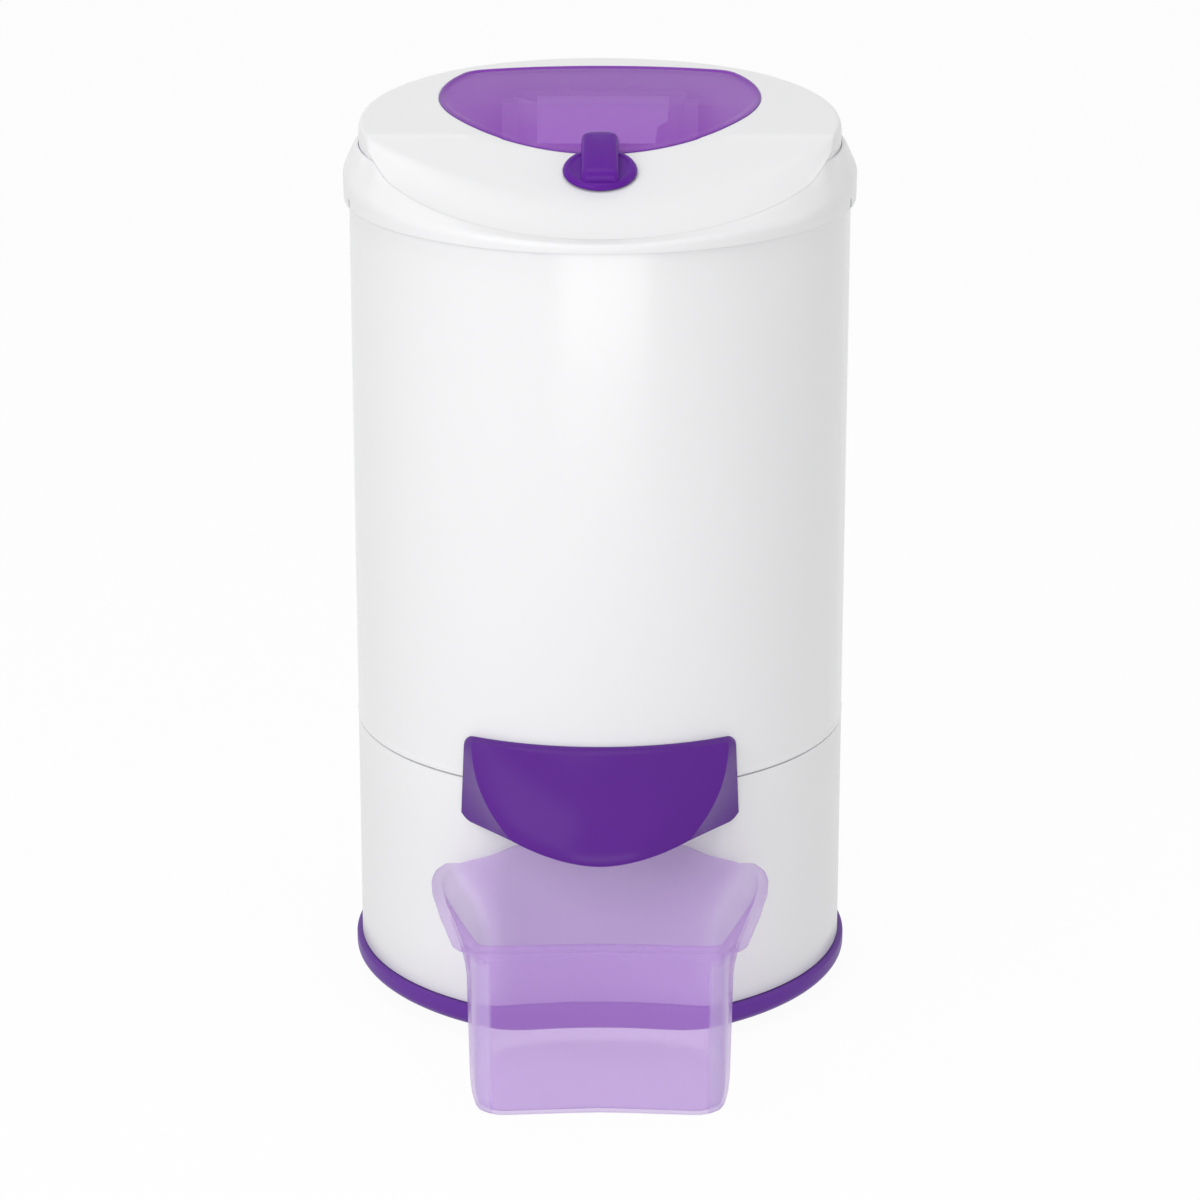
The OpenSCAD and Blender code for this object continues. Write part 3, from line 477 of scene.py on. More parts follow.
fit(sheet_mesh("base bowl", [(base_rows, True, False)]), "base_bowl", base_purple, "casing",
    "purple_plastic", "base_pan")

# ---------------------------------------------------------------------------------------------
# Lower casing: a white moulded wall with the same recess in front, closed on top behind the
# hood. Its edges are eased, so that the seams show as thin dark lines.
Z_BASE = 25.0
SHELL_TOP, LEDGE_LOW = 189.6, 187.5
SHELL_INNER_R = 167.5

white_plastic = plastic("white plastic", (0.80, 0.80, 0.81), 0.30, 0.012, 0.05, 700.0, 0.00002,
                        0.02, mirror=0.3)
shell_line = [(169.0, Z_BASE, 1.0), (169.6, Z_BASE + 0.15, 0.4)]
shell_line += [(BODY_R, z, 0.0) for z in (Z_BASE + 0.8, 60.0, 110.0, 150.0, 188.4)]
shell_line += [(169.8, 189.2, 0.2), (169.2, SHELL_TOP, 0.8), (SHELL_INNER_R, SHELL_TOP, 2.5),
               (SHELL_INNER_R, Z_BASE, 2.5)]
ledge = []
for j in range(41):
    x = RECESS_HALF_W * 1.04 * (j / 20 - 1)
    inner = -(RECESS_CENTRE - math.sqrt((RECESS_R + 2.0) ** 2 - x * x))
    outer = -math.sqrt(169.6 ** 2 - x * x)
    run = [inner + (outer - inner) * k / 6 for k in range(7)]
    ledge.append([(x, y, SHELL_TOP) for y in run] + [(x, y, LEDGE_LOW) for y in run[::-1]])
shell_rows = recessed(shell_line, 0.0, 9.0)
fit(sheet_mesh("lower casing", [(shell_rows, True, True), (ledge, True, False)]), "lower_casing",
    white_plastic, "casing", "white_plastic", "lower_shell")

# ---------------------------------------------------------------------------------------------
# Upper casing: painted steel sheet rolled into a cylinder and joined by a flat lock seam at the
# back, with a hemmed lower edge over the seam ring.
Z_SEAM = 190.0
SHEET_TOP, SHEET_INNER_R = 562.6, 168.8
SEAM_HALF_W = 5.0
SEAM_PROUD = 0.55


def sheet_reach(r, azimuth):
    """Radius of the sheet with its raised lock seam at the back."""
    off = abs(math.pi - azimuth) * BODY_R
    return r + SEAM_PROUD * max(0.0, min(1.0, (SEAM_HALF_W - off) / 0.8))


white_paint = plastic("white paint", (0.80, 0.80, 0.81), 0.24, 0.010, 0.05, 420.0, 0.00003, 0.02,
                      coat=0.1, mirror=0.4)
seam_turns = [math.pi + s * (SEAM_HALF_W + d) / BODY_R for s in (-1, 1) for d in (-0.8, 0.0, 0.6)]
wall_turns = sorted([a for a in turns(240) if abs(a - math.pi) > 0.036] + seam_turns)
wall_line = rounded([(SHEET_INNER_R, Z_SEAM + 0.6, 0.3), (170.3, Z_SEAM + 0.4, 0.7),
                     (170.35, Z_SEAM + 3.5, 0.5), (BODY_R, Z_SEAM + 5.0, 0.5),
                     (BODY_R, SHEET_TOP, 0.3), (SHEET_INNER_R, SHEET_TOP, 0.3)], 4)
wall_rows = [[at(a, sheet_reach(r, a), z) for a in wall_turns] for r, z in wall_line]
fit(sheet_mesh("upper casing", [(wall_rows, True, True)]), "upper_casing", white_paint, "casing",
    "white_paint", "upper_shell")

# ---------------------------------------------------------------------------------------------
# Drain hood: a glossy deep-purple moulding over the spout, with a folded wing on either side of
# its front face and a low nose. It hangs on the recess at the middle seam.
HOOD_FOLD = 0.70
HOOD_TOP, HOOD_NOSE, HOOD_NOSE_Z = 221.5, 217.0, 154.6
HOOD_FACE_HALF_W, HOOD_HALF_W = 86.0, 91.5
HOOD_CORNER = 6.5


def hood_point(u, v):
    """Point of the hood: u from -1 at its left end to 1, v from 0 at its top to 1 below. The
    face is an arc up to the fold, and the wing behind it runs straight back to the casing."""
    side, a = (1 if u >= 0 else -1), abs(u)
    fold_x, end_x = HOOD_FACE_HALF_W - 27.0 * v ** 2.2, HOOD_HALF_W + 2.2 * v
    fold_y = -155.0 - 44.0 * v ** 1.05
    nose_y = -174.5 - (HOOD_NOSE - 174.5) * (1 - (1 - v) ** 1.55)
    if a <= HOOD_FOLD:
        t = a / HOOD_FOLD
        x, y = fold_x * t, nose_y + (fold_y - nose_y) * t ** 2.1
        low_z = HOOD_NOSE_Z + 11.5 * t ** 1.7
    else:
        t = (a - HOOD_FOLD) / (1 - HOOD_FOLD)
        end_y = -146.8 + 1.5 * v
        x, y = fold_x + (end_x - fold_x) * t, fold_y + (end_y - fold_y) * t
        low_z = HOOD_NOSE_Z + 11.5 - 4.5 * t + 4.0 * max(0.0, (t - 0.8) / 0.2) ** 2
    corner = max(0.0, min(1.0, (x - end_x + HOOD_CORNER) / HOOD_CORNER))
    top_z = HOOD_TOP - 1.5 * a ** 2 - HOOD_CORNER * (1 - math.sqrt(1 - corner ** 2))
    return (side * x, y, top_z + (low_z - top_z) * v)


def against_casing(point, reach, drop):
    """Point of the hood's upper lip: the same place across, at a distance from the drum axis."""
    x = point[0]
    return (x, max(-math.sqrt(reach ** 2 - x * x), point[1] + 0.01), point[2] - drop)


hood_purple = plastic("hood purple", (0.100, 0.020, 0.248), 0.22, 0.04, 0.03, 900.0, 0.00002, 0.01,
                      mirror=0.09)
hood_us = sorted({-1 + 2 * j / 140 for j in range(141)} | {HOOD_FOLD, -HOOD_FOLD})
top_row = [hood_point(u, 0.0) for u in hood_us]
hood_rows = [[against_casing(p, reach, drop) for p in top_row]
             for reach, drop in ((170.1, -0.2), (172.6, -0.2), (173.9, 0.3))]
hood_rows += [[hood_point(u, 0.02 + 0.98 * v / 28) for u in hood_us] for v in range(29)]
hood = fit(sheet_mesh("drain hood", [(hood_rows, False, False)], 34.0), "hood", hood_purple,
           "casing", "deep_purple_plastic", "drain_hood")
wall = hood.modifiers.new("wall", "SOLIDIFY")
wall.thickness = 0.0025
wall.offset = -1
edge = hood.modifiers.new("edge", "BEVEL")
edge.width = 0.0007
edge.segments = 3
edge.limit_method = "ANGLE"
edge.angle_limit = math.radians(50)

# ---------------------------------------------------------------------------------------------
# Water container: one thin translucent lilac moulding, open on top, with a rolled rim, two ears
# to lift it by and a raised back that stands under the hood.
RIM_Z = 121.0
WALL_T = 2.2
FLOOR_TOP = 2.6
FRONT = BODY_R + 105.0
FLOOR_HALF_W, RIM_FRONT_W, RIM_EAR_W = 87.0, 80.0, 107.0
TUB_CENTRE_Y = -214.0
BACK_GAP = 0.6
PLAN_STEPS = 320
RIM_RISE, BACK_RISE = 8.5, 15.0
EAR_START, EAR_FULL, EAR_END = math.radians(58), math.radians(80), math.radians(118)
EAR_FADE = 0.12
WALL_ALPHA, POST_ALPHA = 0.26, 0.48
POST_X, POST_Y, POST_Z = (0.0700, 0.0735), (-0.200, -0.206), (0.116, 0.104)
# Paler lilac of the front posts: partly milky thick plastic, partly painted light on the corners
POST_LILAC_PAINTED_LIGHT = (0.56, 0.42, 0.74, 1)

# The front corner posts are thicker, so they are milkier than the walls; their paler colour is
# partly that and partly painted light, standing for the lighter look of their rounded corners.
# Every wall looks denser where it is seen along its length
lilac = plastic("lilac plastic", (0.475, 0.245, 0.70), 0.24, 0.04, 0.10, 500.0, 0.00003, 0.0,
                alpha=WALL_ALPHA, mirror=0.35)
tree = lilac.node_tree
shader = tree.nodes["Principled BSDF"]
spot = wire(tree, "ShaderNodeSeparateXYZ", {0: add(tree, "ShaderNodeTexCoord").outputs["Object"]})
sides = ramp(tree, maths(tree, "ABSOLUTE", spot["X"]), POST_X, kind="SMOOTHSTEP")
below = ramp(tree, spot["Z"], POST_Z, kind="SMOOTHSTEP")
front = ramp(tree, spot["Y"], POST_Y, kind="SMOOTHSTEP")
# Mask of the front corner posts: it thickens their alpha and places their partly painted light
post_and_lit_corner_mask = maths(tree, "MULTIPLY", sides, maths(tree, "MULTIPLY", below, front))
edge_on = add(tree, "ShaderNodeLayerWeight", Blend=0.5).outputs["Facing"]
dense = maths(tree, "MULTIPLY_ADD", maths(tree, "POWER", edge_on, 3.5), 0.45,
              ramp(tree, post_and_lit_corner_mask, (0.0, 1.0), (WALL_ALPHA, POST_ALPHA)), clamp=True)
# Painted light: the posts' paler lilac also stands for light on the rounded front corners
paler_post_painted_light = wire(tree, "ShaderNodeMix", {"A": shader.inputs["Base Color"].links[0].from_socket,
                                     "Factor": post_and_lit_corner_mask}, data_type="RGBA", B=POST_LILAC_PAINTED_LIGHT)
tree.links.new(dense, shader.inputs["Alpha"])
tree.links.new(paler_post_painted_light["Result"], shader.inputs["Base Color"])

w = FLOOR_HALF_W
floor_half = [(0, -FRONT + 3.6), (w - 15, -FRONT + 0.8), (w - 5, -FRONT + 9), (w - 2, -FRONT + 26),
              (w, -FRONT + 52), (w - 3, -BODY_R - 22), (w - 12, -BODY_R + 2), (w - 24, 12 - BODY_R),
              (w - 44, 20 - BODY_R), (0, 32 - BODY_R)]
w = RIM_EAR_W
rim_half = [(0, -FRONT + 7.5), (RIM_FRONT_W - 8, -FRONT + 3.6), (RIM_FRONT_W, -FRONT + 6),
            (RIM_FRONT_W + 3, -FRONT + 14), (w - 3, -BODY_R - 30), (w, -BODY_R - 18),
            (w + 1, -BODY_R - 6), (w, 6 - BODY_R), (w - 6, 24 - BODY_R), (w - 20, 40 - BODY_R),
            (0, 44 - BODY_R)]


def reach_to(half, azimuth):
    """Distance from the container's middle to a plan given by its right half."""
    dx, dy = math.sin(azimuth), -math.cos(azimuth)
    full = half + [(-x, y) for x, y in half[-2:0:-1]]
    best = 1000.0
    for (x0, y0), (x1, y1) in zip(full, full[1:] + full[:1]):
        ex, ey = x1 - x0, y1 - y0
        cross = dx * ey - dy * ex
        if abs(cross) < 1e-9:
            continue
        px, py = x0, y0 - TUB_CENTRE_Y
        t = (px * ey - py * ex) / cross
        s = (px * dy - py * dx) / cross
        if t > 0 and -1e-6 <= s <= 1 + 1e-6:
            best = min(best, t)
    return best


def furthest(allowed, high):
    """Greatest value up to high that is still allowed."""
    low = 0.0
    for _ in range(30):
        middle = (low + high) / 2
        if allowed(middle):
            low = middle
        else:
            high = middle
    return low


def clear_of_base(azimuth, reach):
    """Whether a point round the container's middle stays before the base and its recess."""
    x, y = reach * math.sin(azimuth), TUB_CENTRE_Y - reach * math.cos(azimuth)
    inner = (RECESS_R - LIP - BACK_GAP) ** 2 - x * x
    outer = (BODY_R + LIP + BACK_GAP) ** 2 - x * x
    return y < max(-(RECESS_CENTRE - math.sqrt(inner)), -math.sqrt(max(outer, 0.0)))


def plan_reach(half, azimuth):
    """Distance from the container's middle to its wall, held back behind by the base."""
    reach = reach_to(half, azimuth)
    if math.cos(azimuth) >= 0.35:
        return reach
    return furthest(lambda r: clear_of_base(azimuth, r), reach)


def soften(values, width):
    """Closed list of values, each averaged with its neighbours."""
    count = len(values)
    weights = [math.exp(-(k / width) ** 2 * 2) for k in range(-3 * width, 3 * width + 1)]
    total = sum(weights)
    return [sum(values[(i + k) % count] * weights[k + 3 * width]
                for k in range(-3 * width, 3 * width + 1)) / total for i in range(count)]


plan_turns = turns(PLAN_STEPS)
floor_reach = soften([plan_reach(floor_half, a) for a in plan_turns], 3)
rim_reach = soften([plan_reach(rim_half, a) for a in plan_turns], 2)


def eased(t):
    """Smooth step of a value held between 0 and 1."""
    t = max(0.0, min(1.0, t))
    return 3 * t * t - 2 * t ** 3


def ear_share(azimuth):
    """1 along the two ears, 0 elsewhere; the ears taper towards the front."""
    a = abs(math.atan2(math.sin(azimuth), math.cos(azimuth)))
    fall = min(1.0, max(0.0, (EAR_END + EAR_FADE - a) / EAR_FADE))
    return eased((a - EAR_START) / (EAR_FULL - EAR_START)) * fall


def rim_lift(azimuth, x, y):
    """How far the rim stands above its front height: a little at the ears, most at the back."""
    middle = min(1.0, max(0.0, (95.0 - abs(x)) / 38.0)) ** 0.9
    back = eased((-math.cos(azimuth) - 0.2) / 0.25) * middle
    return RIM_RISE * eased((y + 265.0) / 110.0) + BACK_RISE * back


def container_row(height, inset, out=0.0, ear_out=0.0, ear_low=0.0):
    """One row round the container: at a height, inset from its wall or standing out of it."""
    row = []
    for azimuth, low, high in zip(plan_turns, floor_reach, rim_reach):
        ear = ear_share(azimuth)
        z = height - ear_low * ear
        share = max(0.0, min(1.0, z / RIM_Z))
        reach = low + (high - low) * (0.3 * share + 0.7 * eased((z - 78.0) / 40.0))
        if math.cos(azimuth) >= -0.55:
            reach += out + ear_out * ear
        reach -= inset
        x, y = reach * math.sin(azimuth), TUB_CENTRE_Y - reach * math.cos(azimuth)
        row.append((x, y, z + rim_lift(azimuth, x, y) * min(1.0, (z / 109.0) ** 2)))
    return row


def towards_middle(row, share, z):
    """Row drawn in towards the container's middle, level at a height."""
    return [(x * share, TUB_CENTRE_Y + (y - TUB_CENTRE_Y) * share, z) for x, y, _ in row]


under = container_row(0.0, 9.0)
tray_rows = [towards_middle(under, s, 0.3 * (1 - s)) for s in (0.0, 0.25, 0.5, 0.75, 0.95)]
tray_rows += [under] + [container_row(z, inset) for z, inset in (
    (0.3, 5.0), (1.5, 2.2), (3.6, 0.7), (6.5, 0.1))]
tray_rows += [container_row(z, 0.0) for z in (14, 30, 50, 70, 80, 88, 95, 101)]
tray_rows += [container_row(z, 0.0, out, ear_out, ear_low) for z, out, ear_out, ear_low in (
    (110.5, 0.0, 0.0, 8.5), (111.0, 1.3, 3.4, 8.9), (112.0, 1.6, 4.6, 8.6), (113.2, 1.2, 5.1, 6.8),
    (114.0, 0.4, 5.4, 4.6), (115.6, 0.4, 5.2, 2.2), (116.4, 1.6, 4.2, 0.8), (117.2, 2.6, 3.0, 0.0),
    (119.4, 2.9, 2.7, 0.0), (120.6, 2.3, 2.6, 0.0), (RIM_Z, 1.2, 1.9, 0.0),
    (RIM_Z, -0.8, 0.0, 0.0))]
tray_rows += [container_row(120.5, WALL_T - 0.6)]
tray_rows += [container_row(z, WALL_T) for z in (119.4, 112, 98, 80, 60, 40, 20, 10)]
tray_rows += [container_row(z, WALL_T + more) for z, more in (
    (5.0, 0.8), (3.2, 3.0), (FLOOR_TOP, 7.0))]
tray_rows += [towards_middle(tray_rows[-1], s, FLOOR_TOP) for s in (0.95, 0.75, 0.5, 0.25, 0.0)]
fit(sheet_mesh("water container", [(tray_rows, True, False)], 45.0),
    "water_tray", lilac, "water_container", "lilac_plastic", "container").visible_shadow = False

# ---------------------------------------------------------------------------------------------
# Drum: perforated stainless sheet rolled into a basket, with a pressed floor and a rolled rim
# round its mouth. The holes are cut by one repeated cell that is bent round the drum.
DRUM_R = 130.0
CELL_COLUMNS, CELL_ROWS = 48, 16
CELL_H = 17.0
HOLE_R = 3.0
HOLES_Z = 236.0
DRUM_TOP = 521.4
HUB_HOLE_R = 8.7

turned_metal, given, result = effect(
    "turned metal", {"Colour": (0.6, 0.6, 0.6, 1), "Gloss": 0.3, "Line size": 900.0},
    ("Colour", "Roughness", "Height"))
where = add(turned_metal, "ShaderNodeTexCoord").outputs["Object"]
squeezed = wire(turned_metal, "ShaderNodeMapping", {"Vector": where}, Scale=(0.02, 0.02, 1.0))
turning = wire(turned_metal, "ShaderNodeTexNoise", {
    "Vector": squeezed["Vector"], "Scale": given["Line size"]}, Detail=4.0, Roughness=0.6)
stain = noise(turned_metal, where, Scale=22.0, Detail=5.0, Roughness=0.6)
tone = ramp(turned_metal, turning["Fac"], (0.0, 1.0), (0.88, 1.06))
give_out(turned_metal, result, Colour=toned(turned_metal, given["Colour"], tone),
         Roughness=maths(turned_metal, "MULTIPLY_ADD", stain, 0.16, given["Gloss"]),
         Height=turning["Fac"])


def metal(name, colour, gloss, lines=900.0, depth=0.00002):
    """Bare metal with fine turning lines and slight stains."""
    material, tree, shader = new_material(name)
    shader.inputs["Metallic"].default_value = 1.0
    skin = placed(tree, turned_metal, Colour=(*colour, 1), Gloss=gloss, Line_size=lines)
    surfaced(tree, shader, skin, 0.3, depth)
    tree.links.new(skin["Colour"], shader.inputs["Base Color"])
    return material


stainless = metal("stainless sheet", (0.60, 0.60, 0.61), 0.18, 1500.0)
cell_w = 2 * math.pi * DRUM_R / CELL_COLUMNS
half_w, half_h = cell_w / 2, CELL_H / 2
border = [(half_w, 0), (half_w, half_h), (0, half_h), (-half_w, half_h), (-half_w, 0),
          (-half_w, -half_h), (0, -half_h), (half_w, -half_h)]
hole = [(HOLE_R * math.cos(k * math.pi / 4), HOLE_R * math.sin(k * math.pi / 4)) for k in range(8)]
cell_points = [(x / 1000, y / 1000, z / 1000) for z in (0.0, -1.0) for x, y in border + hole]
cell_faces = []
for k in range(8):
    n = (k + 1) % 8
    cell_faces += [(k, n, 8 + n, 8 + k), (16 + n, 16 + k, 24 + k, 24 + n),
                   (8 + k, 8 + n, 24 + n, 24 + k)]
cell = bpy.data.meshes.new("drum cell")
cell.from_pydata(cell_points, [], cell_faces)


def bent_round(tree, given):
    """Staggered grid of cells, bent round the drum axis and welded."""
    def span(count, size):
        """Length of a run of cells."""
        return maths(tree, "MULTIPLY", maths(tree, "SUBTRACT", given[count], 1), given[size])

    def position():
        """Parts of a point's place, as it is where this is used."""
        place = add(tree, "GeometryNodeInputPosition").outputs["Position"]
        return wire(tree, "ShaderNodeSeparateXYZ", {"Vector": place})

    grid = wire(tree, "GeometryNodeMeshGrid", {
        "Size X": span("Columns", "Cell width"), "Size Y": span("Rows", "Cell height"),
        "Vertices X": given["Columns"], "Vertices Y": given["Rows"]})
    row = maths(tree, "ROUND", maths(tree, "DIVIDE", maths(tree, "ADD", position()["Y"], 10.0),
                                     given["Cell height"]))
    half_odd = maths(tree, "MULTIPLY", maths(tree, "MODULO", row, 2.0), 0.5)
    aside = wire(tree, "ShaderNodeCombineXYZ", {
        "X": maths(tree, "MULTIPLY", half_odd, given["Cell width"])})
    points = wire(tree, "GeometryNodeSetPosition", {"Geometry": grid["Mesh"],
                                                    "Offset": aside["Vector"]})
    cells = wire(tree, "GeometryNodeInstanceOnPoints", {"Points": points["Geometry"],
                                                        "Instance": given["Geometry"]})
    flat = wire(tree, "GeometryNodeRealizeInstances", {"Geometry": cells["Instances"]})
    spot = position()
    angle = maths(tree, "DIVIDE", spot["X"], given["Drum radius"])
    reach = maths(tree, "ADD", spot["Z"], given["Drum radius"])
    forward = maths(tree, "MULTIPLY", maths(tree, "COSINE", angle), -1.0)
    bent = wire(tree, "ShaderNodeCombineXYZ", {
        "X": maths(tree, "MULTIPLY", reach, maths(tree, "SINE", angle)),
        "Y": maths(tree, "MULTIPLY_ADD", reach, forward, AXIS_Y / 1000),
        "Z": maths(tree, "ADD", spot["Y"], given["Foot height"])})
    drum = wire(tree, "GeometryNodeSetPosition", {"Geometry": flat["Geometry"],
                                                  "Position": bent["Vector"]})
    return wire(tree, "GeometryNodeMergeByDistance", {"Geometry": drum["Geometry"]},
                Distance=0.00005)["Geometry"]


drum_mesh = set_out("drum sheet", cell, {
    "Columns": CELL_COLUMNS, "Rows": CELL_ROWS, "Cell width": cell_w / 1000,
    "Cell height": CELL_H / 1000, "Drum radius": DRUM_R / 1000,
    "Foot height": (HOLES_Z + CELL_H * CELL_ROWS / 2) / 1000}, stainless, bent_round, 50.0)
fit(drum_mesh, "drum_wall", stainless, "spinner", "stainless_steel", "drum")

drum_floor = rounded([(HUB_HOLE_R, 219.0, 0), (60.0, 219.0, 2), (66.0, 221.4, 2), (84.0, 221.4, 2),
                      (90.0, 219.0, 2), (129.0, 219.0, 9), (129.0, HOLES_Z + 0.2, 0.2),
                      (DRUM_R, HOLES_Z + 0.2, 0.2), (DRUM_R, 218.0, 9.6), (90.6, 218.0, 2),
                      (84.4, 220.4, 2), (65.6, 220.4, 2), (59.4, 218.0, 2),
                      (HUB_HOLE_R, 218.0, 0)])
holes_top = HOLES_Z + CELL_H * CELL_ROWS
drum_band = rounded([(129.0, holes_top - 0.2, 0), (DRUM_R, holes_top - 0.2, 0),
                     (DRUM_R, DRUM_TOP, 0.2), (129.0, DRUM_TOP, 0.2)], 2)
fit(sheet_mesh("drum floor", [(turn(line, 144), True, True) for line in (drum_floor, drum_band)]),
    "drum_floor", stainless, "spinner", "stainless_steel")
rim_line = rounded([(106.0, 515.5, 0.8), (108.0, 515.5, 0.8), (108.2, 520.6, 2.2),
                    (118.0, 521.6, 1.5), (130.1, 521.5, 0.3), (130.1, 511.5, 0.3),
                    (131.5, 511.5, 0.4), (131.5, 523.5, 1.6), (119.0, 523.5, 2.0),
                    (106.0, 523.4, 2.6)])
fit(sheet_mesh("drum rim", [(turn(rim_line, 160), True, True)]), "drum_mouth_rim", stainless,
    "spinner", "stainless_steel", "drum_rim")

# ---------------------------------------------------------------------------------------------
# Running gear and fixed inner parts: hub, shaft, bearings, motor, brake, tub, cable and gland
# keep their own shapes; each takes the finish of what it is made of.
steel = metal("machined steel", (0.50, 0.50, 0.51), 0.24, 1100.0)
zinc = metal("zinc plate", (0.52, 0.53, 0.55), 0.36, 300.0, 0.00004)
copper = metal("enamelled copper wire", (0.50, 0.19, 0.07), 0.30, 2400.0, 0.00012)
grey_plastic = plastic("grey plastic", (0.21, 0.215, 0.225), 0.48, 0.08, 0.12, 800.0, 0.00004, 0.15)
finishes = {"white_plastic": white_plastic, "stainless_steel": stainless, "steel": steel,
            "zinc": zinc, "rubber": rubber, "grey_plastic": grey_plastic, "copper": copper}

# ---------------------------------------------------------------------------------------------
# Collar: a white moulded ring that caps the casing. A band laps over the sheet, a sloped shoulder
# carries the lid's seat, and its front slopes down; two sunk screws hold it at the sides.
SEAT_R, SEAT_TOP = 163.2, 595.5
MOUTH_R, NECK_T = 111.5, 2.5
NECK_LOW, Z_DECK, DECK_LOW = 526.5, 564.5, 562.0
COLLAR_R, COLLAR_LOW = 174.0, 558.6
GROOVE_R, GROOVE_TOP = 166.4, 566.6
LID_R = 163.0
LID_LOW = 564.9
CREASE_Y, CREASE_Z, CREASE_STEP = 45.0, 609.5, 0.7
SLOPE = math.radians(18.5)
REAR_SLOPE = math.radians(4.5)
LID_TOP = 623.75
WINDOW_R, WINDOW_Y, WINDOW_REAR = 110.0, 42.0, 116.0
LID_FILLET = 20.0
SCREW_TURN = math.radians(75)
SCREW_Z = 562.7
SCREW_WELL_R = 3.3
TONGUE_X, TONGUE_Y, TONGUE_Z = (-14.0, 46.0), (-119.5, -100.0), (538.2, 552.2)


def lid_top(r, azimuth):
    """Height of the lid's outer face over a point in its plan."""
    x, y, _ = at(azimuth, r, 0.0)
    back = y + CREASE_Y
    crown = 4.0 * max(0.0, 1 - (x / 130.0) ** 2) * max(0.0, min(1.0, back / 60.0))
    rear = ease_min(CREASE_Z + back * math.tan(REAR_SLOPE) + crown, LID_TOP, 5.0)
    step = CREASE_STEP * max(0.0, min(1.0, -back / 2.4))
    off_window = max(0.0, math.hypot(x, y - WINDOW_Y) - WINDOW_R)
    z = ease_min(CREASE_Z + back * math.tan(SLOPE) - step, rear,
                 1.0 + 7.0 * max(0.0, 1 - off_window / 16.0))
    degrees = math.degrees(min(azimuth % (2 * math.pi), 2 * math.pi - azimuth % (2 * math.pi)))
    start = 121.0 + 24.0 * (degrees / 60.0) ** 3
    if start < r and degrees < 78:
        t = min(1.0, (r - start) / (LID_R - start))
        fade = min(1.0, (78 - degrees) / 20.0)
        z -= (3.4 + 4.7 * (degrees / 50.0) ** 2) * t * t * (2.6 - 1.6 * t) * fade
    if r > LID_R - LID_FILLET:
        off = min(r - (LID_R - LID_FILLET), LID_FILLET)
        z = ease_min(z, LID_TOP - LID_FILLET + math.sqrt(LID_FILLET ** 2 - off * off), 3.0)
    return max(z, LID_LOW + 0.8)


def between(value, stops):
    """Value read off a line of (place, height) stops, eased from each to the next."""
    for (a, low), (b, high) in zip(stops, stops[1:]):
        if value <= b:
            t = max(0.0, (value - a) / (b - a))
            return low + (high - low) * (3 * t * t - 2 * t ** 3)
    return stops[-1][1]


def collar_section(azimuth):
    """Eased section of the collar at one azimuth: in front its shoulder follows the lid's edge."""
    degrees = math.degrees(min(azimuth, 2 * math.pi - azimuth))
    edge = lid_top(LID_R, azimuth)
    band = between(degrees, [(0, 564.6), (36, 567.6), (70, 572.0), (79, 578.5), (180, 578.5)])
    brow = edge + between(degrees, [(0, -0.2), (40, -0.8), (62, -3.5), (70, -10.0), (71.5, -10.0),
                                    (74.5, -2.0), (180, 0.0)])
    groove = min(GROOVE_TOP, band - 1.5)
    corners = [(170.3, COLLAR_LOW, 0.3), (173.6, COLLAR_LOW, 0.7), (COLLAR_R, band, 4.0),
               (165.9, min(SEAT_TOP, brow), 2.2), (SEAT_R, min(SEAT_TOP, edge + 0.1), 0.4),
               (SEAT_R, Z_DECK, 1.0), (MOUTH_R, Z_DECK, 3.5), (MOUTH_R, NECK_LOW, 1.0),
               (MOUTH_R + NECK_T, NECK_LOW, 0.6), (MOUTH_R + NECK_T, DECK_LOW, 1.5),
               (GROOVE_R, DECK_LOW, 1.0), (GROOVE_R, groove, 0.3), (170.3, groove, 0.3)]
    return rounded(corners, 5)


def turned_level(azimuth, line, steps):
    """Rows of a line (distance from the drum axis, radius) turned round a collar screw's axis."""
    return [[(r * math.sin(azimuth) + radius * math.cos(t) * math.cos(azimuth),
              -r * math.cos(azimuth) + radius * math.cos(t) * math.sin(azimuth),
              SCREW_Z + radius * math.sin(t)) for t in turns(steps)] for r, radius in line]


collar_turns = turns(300)
sections = [collar_section(a) for a in collar_turns]
collar_rows = [[at(a, *section[i]) for a, section in zip(collar_turns, sections)]
               for i in range(len(sections[0]))]
collar = bpy.data.objects.new("collar maker", sheet_mesh("top collar", [(collar_rows, True, True)]))
scene.collection.objects.link(collar)

# Two wells for the screws, and the opening in the neck through which the lock's tongue reaches
well_line = ((171.8, 0.0), (171.8, SCREW_WELL_R), (178.0, SCREW_WELL_R), (178.0, 0.0))
opening = [[(x, y, z) for x, y in ((TONGUE_X[0], TONGUE_Y[0]), (TONGUE_X[1], TONGUE_Y[0]),
                                   (TONGUE_X[1], TONGUE_Y[1]), (TONGUE_X[0], TONGUE_Y[1]))]
           for z in TONGUE_Z]
opening = [[(16.0, -110.0, TONGUE_Z[0])] * 4] + opening + [[(16.0, -110.0, TONGUE_Z[1])] * 4]
wells = [(turned_level(s * SCREW_TURN, well_line, 28), True, False) for s in (-1, 1)]
cutter_mesh = sheet_mesh("well cutter", wells + [(opening, True, False)])
cutter = bpy.data.objects.new("well cutter", cutter_mesh)
scene.collection.objects.link(cutter)
bore = collar.modifiers.new("wells", "BOOLEAN")
bore.operation = "DIFFERENCE"
bore.solver = "EXACT"
bore.object = cutter
collar_mesh = evaluated(collar, "top collar")
bpy.data.objects.remove(cutter)
fit(collar_mesh, "top_collar", white_plastic, "casing", "white_plastic", "top_ring")

# ---------------------------------------------------------------------------------------------
# Lid: a white moulded cover with a level rear part and a sloped front, which meet in a crease.
# Its edge is rolled down all round, and an opening holds the window.
LID_WALL = 2.5
FLAT_R = LID_R - LID_FILLET
INNER_LOW = LID_LOW + 0.1
OPENING_EASE = 0.9


